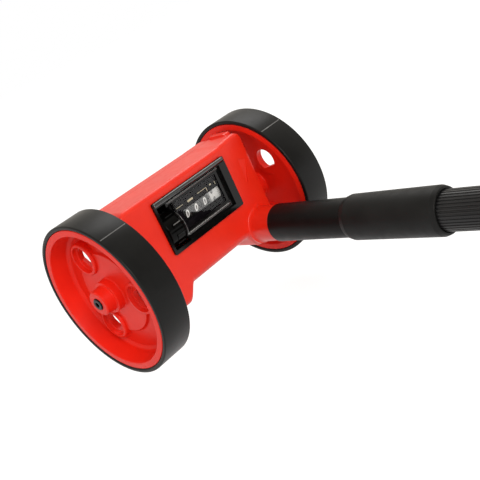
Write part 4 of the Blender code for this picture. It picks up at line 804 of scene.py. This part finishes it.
def make_window():
    pane = placed("counter_glass", prism("counter_glass", rectangle(*PANE), PANE_BACK, PANE_FRONT, FACE))
    softened(pane, 0.2, 2, 35)
    finished(pane, CLEAR, "housing", ("counter_window",))
    plate = prism("counter_label", rectangle(*PANE), LABEL_BACK, LABEL_FRONT, FACE)
    slot = prism("slot", rectangle(*ROW_SLOT), 15.0, 19.0, FACE)
    label = carved("counter_label", plate, [("DIFFERENCE", slot)])
    finished(label, LABEL, "housing", ("label_plate",), sharp=30)
    film = prism("row_film", rectangle(*ROW_FILM), LABEL_BACK + 0.02, LABEL_BACK + 0.1, FACE)
    finished(film, FILM, "housing", sharp=30)
    for mark in LABEL_MARKS:
        stroke(*mark)


def text_mesh(name, words, height):
    """Digit outline centred on the origin, its height along local Y."""
    curve = bpy.data.curves.new(name, "FONT")
    curve.body = words
    curve.align_x = "CENTER"
    curve.size = 1.0
    curve.shear = 0.3
    curve.offset = 0.035
    holder = placed(name, curve)
    graph = bpy.context.evaluated_depsgraph_get()
    mesh = bpy.data.meshes.new_from_object(holder.evaluated_get(graph))
    bpy.data.objects.remove(holder, do_unlink=True)
    ys = [vertex.co.y for vertex in mesh.vertices]
    xs = [vertex.co.x for vertex in mesh.vertices]
    scale = height / (max(ys) - min(ys))
    middle = Vector(((max(xs) + min(xs)) / 2, (max(ys) + min(ys)) / 2, 0))
    for vertex in mesh.vertices:
        vertex.co = (vertex.co - middle) * scale
    return mesh


def on_drum(angle, x):
    """Point of a drum's printed face, with the angle counted from its back."""
    return (-DRUM_PRINT * math.sin(angle), -DRUM_PRINT * math.cos(angle), x)


def drum_digits(name, centre, height, width_share, offset, look, body):
    """Ring of ten digits wrapped on a drum; the first one faces forward when the offset is 0."""
    joined = bmesh.new()
    for number in range(10):
        work = bmesh.new()
        work.from_mesh(text_mesh("digit", str(number), height))
        bmesh.ops.triangulate(work, faces=work.faces)
        bmesh.ops.subdivide_edges(work, edges=work.edges, cuts=3)
        centre_angle = TURN * (number + offset) / 10
        for vertex in work.verts:
            vertex.co = on_drum(centre_angle + vertex.co.y / DRUM_PRINT, centre + vertex.co.x * width_share)
        digit = bpy.data.meshes.new("digit_part")
        work.to_mesh(digit)
        work.free()
        joined.from_mesh(digit)
    bmesh.ops.transform(joined, matrix=DRUM, verts=joined.verts)
    mesh = bpy.data.meshes.new(name)
    joined.to_mesh(mesh)
    joined.free()
    finished(mesh, look, body)


def make_graduation(edge, body):
    """Tick marks along the right edge of the last drum, every fifth one longer."""
    points = []
    faces = []
    for index in range(TICKS):
        middle = TURN * index / TICKS
        length = 2.2 if index % 5 == 0 else 1.3
        base = len(points)
        for angle in (middle - TICK_HALF_ANGLE, middle + TICK_HALF_ANGLE):
            points += [on_drum(angle, edge - length), on_drum(angle, edge)]
        faces.append((base, base + 1, base + 3, base + 2))
    finished(mesh_of("graduation", points, faces, DRUM), DARK_INK, body)


def make_drums():
    for index in range(DRUMS):
        start = FIRST_DRUM + index * DRUM_PITCH
        units = index == DRUMS - 1
        end = start + (LAST_DRUM_WIDTH if units else DRUM_WIDTH)
        number = str(index + 1)
        body = "drum_" + number
        profile = rounded([
            (DRUM_BORE, start), (4.0, start), (4.0, start + 1.2), (8.6, start + 1.2), (8.6, start),
            (DRUM_RADIUS, start, 0.25), (DRUM_RADIUS, end, 0.25), (DRUM_BORE, end),
        ], True, 3)
        drum = turned("drum_face_" + number, profile, DRUM, 96)
        finished(drum, DRUM_WHITE if units else DRUM_BLACK, body, sharp=40)
        if units:
            drum_digits("digits_" + number, start + 2.8, 3.9, 0.8, 0.5, DARK_INK, body)
            make_graduation(end - 0.3, body)
        else:
            drum_digits("digits_" + number, start + 2.9, 5.0, 0.88, 0.0, WHITE_INK, body)


def make_thumbwheel():
    """Smooth wheel with a raised rim at its window side and ten slim ribs beside it, one of them with a
    painted highlight along its crest.
    """
    profile = rounded([
        (1.8, THUMB_BACK), (11.3, THUMB_BACK, 0.6), (11.4, THUMB_RIM - 0.2, 0.3),
        (12.4, THUMB_RIM, 0.4), (12.4, THUMB_FRONT, 0.4), (1.8, THUMB_FRONT),
    ], True, 5)
    wheel = turned("thumb_wheel", profile, THUMB, 160)
    # The wheel takes the darker, less glossy copy of the black: painted shade that keeps the floor's
    # reflection off its tread.
    finished(wheel, GLOSS_PAINTED_SHADE, "thumbwheel", ("reset_thumbwheel",), sharp=50)
    outline = []
    for index in range(THUMB_RIBS):
        middle = TURN * index / THUMB_RIBS + THUMB_RIB_TURN
        for radius, share in RIB_SHAPE:
            angle = middle - share * TURN / THUMB_RIBS
            outline.append((radius * math.sin(angle), -radius * math.cos(angle)))
    ribs = placed("thumb_ribs", prism("thumb_ribs", outline, -26.6, THUMB_RIM, THUMB))
    softened(ribs, 0.2, 2, 35)
    finished(ribs, GLOSS, "thumbwheel")
    rim = rounded([(12.0, -18.6, 0.2), (12.5, -18.6, 0.3), (12.5, -17.9, 0.3), (12.0, -17.9, 0.2)], True, 4)
    finished(turned("thumb_rim", rim, THUMB, 160), STEP_BLACK, "thumbwheel")
    # Grey sheet on the crest of one rib: a painted highlight where the ribs catch the light.
    angles = [math.radians(PAINTED_HIGHLIGHT_RIB + PAINTED_HIGHLIGHT_RIB_HALF * step / 4) for step in range(-4, 5)]
    crest = [(11.95 * math.sin(angle), -11.95 * math.cos(angle)) for angle in angles]
    outline = crest + [(0.98 * x, 0.98 * y) for x, y in reversed(crest)]
    finished(prism("thumb_rib_painted_highlight", outline, -26.0, -20.2, THUMB), RIB_PAINTED_HIGHLIGHT, "thumbwheel", sharp=30)


# Handle
TUBE_START = 37.6
TUBE_RADIUS = 12.75
TUBE_BORE = 10.7
TUBE_END = 122.0
TUBE_END_RADIUS = 12.45
COLLAR_START = 100.8
COLLAR_END = 168.7
COLLAR_SIDE = 13.35
RIBBED_START = 122.3
RIBBED_END = 336.0
RIBBED_BORE = 10.0
RIBBED_RIBS = 36
RIBBED_TOOTH = ((11.95, 0.0), (11.95, 0.45), (11.4, 0.6), (11.4, 0.85))
LOCK_FLUTES = 6
GRIP_START = 378.0
GRIP_WAVES_START = 383.0
GRIP_WAVE = 23.0
GRIP_WAVES = 4
GRIP_RADIUS = 13.6
GRIP_DIP = 12.9
GRIP_BORE = 7.9
GRIP_END = 480.0
CAP_START = 480.3
CAP_END = 484.3
CAP_RADIUS = 12.6
PLUG_RADIUS = 6.1
PLUG_END = 470.3


def make_ribbed_tube():
    outline = [on_circle(radius, TURN * (index + share) / RIBBED_RIBS)
               for index in range(RIBBED_RIBS) for radius, share in RIBBED_TOOTH]
    bore = prism("bore", circle(RIBBED_BORE, 72), RIBBED_START - 2.3, RIBBED_END + 2.0, HANDLE)
    skin = prism("ribbed_skin", outline, RIBBED_START, RIBBED_END, HANDLE)
    ribbed = carved("ribbed_skin", skin, [("DIFFERENCE", bore)])
    finished(ribbed, ALUMINIUM, "housing", ("ribbed_tube",), sharp=25)


def make_handle():
    lower = rounded([
        (TUBE_BORE, TUBE_START), (TUBE_RADIUS, TUBE_START, 1.6),
        (TUBE_END_RADIUS, TUBE_END, 0.3), (TUBE_BORE, TUBE_END),
    ], True, 5)
    skin = turned("lower_tube_skin", lower, HANDLE, 128)
    finished(skin, TUBE_BLACK, "housing", ("lower_tube",))
    collar = rounded([
        (13.05, COLLAR_START, 0.4), (COLLAR_SIDE, COLLAR_START, 0.4), (14.3, COLLAR_START + 3.2, 1.5),
        (14.6, COLLAR_END - 3.0, 1.5), (13.6, COLLAR_END, 0.8), (12.25, COLLAR_END, 0.3),
        (12.25, RIBBED_START), (13.05, RIBBED_START),
    ], True, 5)
    skin = turned("collar_skin", collar, HANDLE, 128)
    finished(skin, COLLAR_BLACK, "collar", ("lock_collar",))
    make_ribbed_tube()
    for name, node, radius, bore, start, end, body in (
        ("middle_skin", "middle_tube", 9.5, 8.2, 66.0, 366.0, "middle_section"),
        ("inner_skin", "inner_tube", 7.6, 6.4, 70.0, 480.0, "inner_section"),
    ):
        tube = rounded([(bore, start), (radius, start, 0.3), (radius, end, 0.3), (bore, end)], True, 3)
        finished(turned(name, tube, HANDLE, 96), ALUMINIUM, body, (node,))
    make_lock("lower_lock_skin", "lower_twist_lock", 322.0, 350.0, 14.0, 336.3, 12.25, 9.8, "lower_lock")
    make_lock("upper_lock_skin", "upper_twist_lock", 351.0, 376.0, 12.0, 366.3, 9.8, 7.9, "upper_lock")
    make_grip()
    make_cap()


def make_lock(name, node, start, end, radius, step, bore_over, bore_inner, body):
    """Fluted ring over one tube, with a narrower bore round the next one past the step."""
    profile = rounded([
        (bore_over, start, 0.3), (radius - 2.0, start, 0.6), (radius, start + 2.0, 1.2),
        (radius, end - 2.0, 1.2), (radius - 2.0, end, 0.6), (bore_inner, end, 0.3),
        (bore_inner, step), (bore_over, step),
    ], True, 4)
    flutes = []
    for index in range(LOCK_FLUTES):
        centre = on_circle(radius + 1.5, TURN * index / LOCK_FLUTES)
        flutes.append(("DIFFERENCE", prism("flute", circle(2.2, 32, centre), start + 4.0, end - 4.0, HANDLE)))
    ring = carved(name, turned(name, profile, HANDLE, 96), flutes)
    softened(ring, 0.25, 2, 35)
    finished(ring, BLACK, body, (node,))


def make_grip():
    profile = [(GRIP_BORE, GRIP_START), (GRIP_DIP, GRIP_START, 0.4), (GRIP_RADIUS, GRIP_START + 0.7, 0.6)]
    for index in range(GRIP_WAVES):
        base = GRIP_WAVES_START + index * GRIP_WAVE
        profile += [(GRIP_RADIUS, base, 0.8), (GRIP_DIP, base + GRIP_WAVE / 4, 2.0),
                    (GRIP_RADIUS, base + GRIP_WAVE / 2, 0.8)]
    profile += [(GRIP_RADIUS, GRIP_END - 0.7, 0.6), (GRIP_DIP, GRIP_END, 0.4), (GRIP_BORE, GRIP_END)]
    skin = turned("grip_skin", rounded(profile, True, 4), HANDLE, 128)
    finished(skin, GRIP, "inner_section", ("hand_grip",))


def make_cap():
    profile = rounded([
        (0, CAP_END), (CAP_RADIUS, CAP_END, 1.4), (CAP_RADIUS, CAP_START, 0.3), (PLUG_RADIUS, CAP_START),
        (PLUG_RADIUS, PLUG_END, 0.3), (0, PLUG_END),
    ], False, 5)
    skin = turned("cap_skin", profile, HANDLE, 96)
    finished(skin, BLACK, "inner_section", ("end_cap",))


# Materials for the pieces that stay as packed
def dress_frame():
    looks = {
        "red_plastic": RED, "black_plastic": BLACK, "gloss_black_plastic": GLOSS, "tyre_rubber": RUBBER,
        "steel": STEEL, "blackened_steel": DARK_STEEL, "bush_bronze": BRONZE, "white_nylon": NYLON,
        "drum_grey": DRUM_BLACK, "drum_white": DRUM_WHITE, "clear_plastic": CLEAR,
        "black_aluminium": ALUMINIUM,
    }
    slots = {}
    for entry in frame["record"]["subparts"]:
        slots[entry["node"]] = entry["material_slot"]
    for name, node in frame["nodes"].items():
        look = looks.get(slots.get(name, ""), BLACK)
        node.data.materials.clear()
        node.data.materials.append(look)


# Stage
FLOOR_UP = -0.024
FLOOR_HALF = 40
LIT_PLACE = (0, 0.1, 0.05)


def white_rays(tree):
    """One for camera, glossy and transmission rays, which see the white of the floor."""
    path = tree.nodes.new("ShaderNodeLightPath")
    share = path.outputs["Is Camera Ray"]
    for name in ("Is Glossy Ray", "Is Transmission Ray"):
        either = tree.nodes.new("ShaderNodeMath")
        either.operation = "MAXIMUM"
        tree.links.new(share, either.inputs[0])
        tree.links.new(path.outputs[name], either.inputs[1])
        share = either.outputs[0]
    return share


def mixed(tree, share, first, second):
    mix = tree.nodes.new("ShaderNodeMixShader")
    tree.links.new(share, mix.inputs["Fac"])
    tree.links.new(first.outputs[0], mix.inputs[1])
    tree.links.new(second.outputs[0], mix.inputs[2])
    return mix.outputs[0]


def make_stage():
    """Floor a little below the wheels, which leaves room for the grip of the drawn-out handle."""
    corners = [(x * FLOOR_HALF, y * FLOOR_HALF, FLOOR_UP) for x, y in ((-1, -1), (1, -1), (1, 1), (-1, 1))]
    floor = placed("floor", bpy.data.meshes.new("floor"))
    floor.data.from_pydata(corners, [], [(0, 1, 2, 3)])
    made, tree, shader = shader_tree("pale_floor")
    shader.inputs["Base Color"].default_value = (0.70, 0.70, 0.70, 1.0)
    shader.inputs["Roughness"].default_value = 0.9
    shader.inputs["Specular IOR Level"].default_value = 0.0
    shadowed = tree.nodes.new("ShaderNodeBsdfDiffuse")
    shadowed.inputs["Color"].default_value = (0.28, 0.28, 0.28, 1.0)
    glow = tree.nodes.new("ShaderNodeEmission")
    glow.inputs["Strength"].default_value = 0.86
    white = tree.nodes.new("ShaderNodeAddShader")
    tree.links.new(shadowed.outputs[0], white.inputs[0])
    tree.links.new(glow.outputs[0], white.inputs[1])
    surface = mixed(tree, white_rays(tree), shader, white)
    tree.links.new(surface, tree.nodes["Material Output"].inputs["Surface"])
    floor.data.materials.append(made)


def area(name, place, size, power, colour=(1.0, 1.0, 1.0)):
    """Square lamp that faces the tool."""
    lamp = bpy.data.lights.new(name, "AREA")
    lamp.energy = power
    lamp.color = colour
    lamp.shape = "SQUARE"
    lamp.size = size
    made = placed(name, lamp)
    made.location = place
    made.rotation_euler = (Vector(LIT_PLACE) - Vector(place)).to_track_quat("-Z", "Y").to_euler()


def make_world():
    """Soft light from above and behind, a darker open side in front, white where it is looked at."""
    world = bpy.data.worlds.new("studio")
    bpy.context.scene.world = world
    world.use_nodes = True
    tree = world.node_tree
    paint = tree.nodes["Background"]
    paint.inputs["Color"].default_value = (1.0, 0.95, 0.86, 1.0)
    coords = tree.nodes.new("ShaderNodeTexCoord")
    toward = tree.nodes.new("ShaderNodeVectorMath")
    toward.operation = "DOT_PRODUCT"
    toward.inputs[1].default_value = Vector((-0.45, -0.85, 0.12)).normalized()
    tree.links.new(coords.outputs["Generated"], toward.inputs[0])
    tree.links.new(ramp(tree, toward.outputs["Value"], 0.1, 0.85, 0.85, 0.12), paint.inputs["Strength"])
    seen = tree.nodes.new("ShaderNodeBackground")
    seen.inputs["Color"].default_value = (1.0, 1.0, 1.0, 1.0)
    seen.inputs["Strength"].default_value = 1.0
    path = tree.nodes.new("ShaderNodeLightPath")
    surface = mixed(tree, path.outputs["Is Camera Ray"], paint, seen)
    tree.links.new(surface, tree.nodes["World Output"].inputs["Surface"])


def make_camera():
    """Camera as fitted to both tyres in the photograph, placed in the tool's frame."""
    right = Vector((0.6278, -0.6668, -0.4016))
    up = Vector((0.5131, -0.0334, 0.8576))
    back = right.cross(up)
    turn = Matrix((right, up, back)).transposed().to_4x4()
    data = bpy.data.cameras.new("camera")
    data.sensor_width = 36.0
    data.lens = 59.07
    data.clip_start = 0.01
    camera = placed("camera", data)
    camera.matrix_world = TOOL @ Matrix.Translation((-0.2906, -0.4135, 0.1522)) @ turn
    bpy.context.scene.camera = camera


make_wheel("left", LEFT, LEFT_WHEEL_TURN, LEFT_SEAM_HIGHLIGHT)
make_wheel("right", RIGHT, RIGHT_WHEEL_TURN, RIGHT_SEAM_HIGHLIGHT)
make_housing()
make_bezel()
make_window()
make_drums()
make_thumbwheel()
make_handle()
dress_frame()
make_stage()
make_world()
area("key", (-0.6, -1.45, 0.95), 0.9, 26.0, (1.0, 0.96, 0.90))
area("side", (-1.4, 0.2, 0.7), 0.8, 3.0)
area("overhead", (0.75, 0.5, 1.15), 0.6, 4.5)
make_camera()
bpy.context.scene.view_settings.view_transform = "Standard"
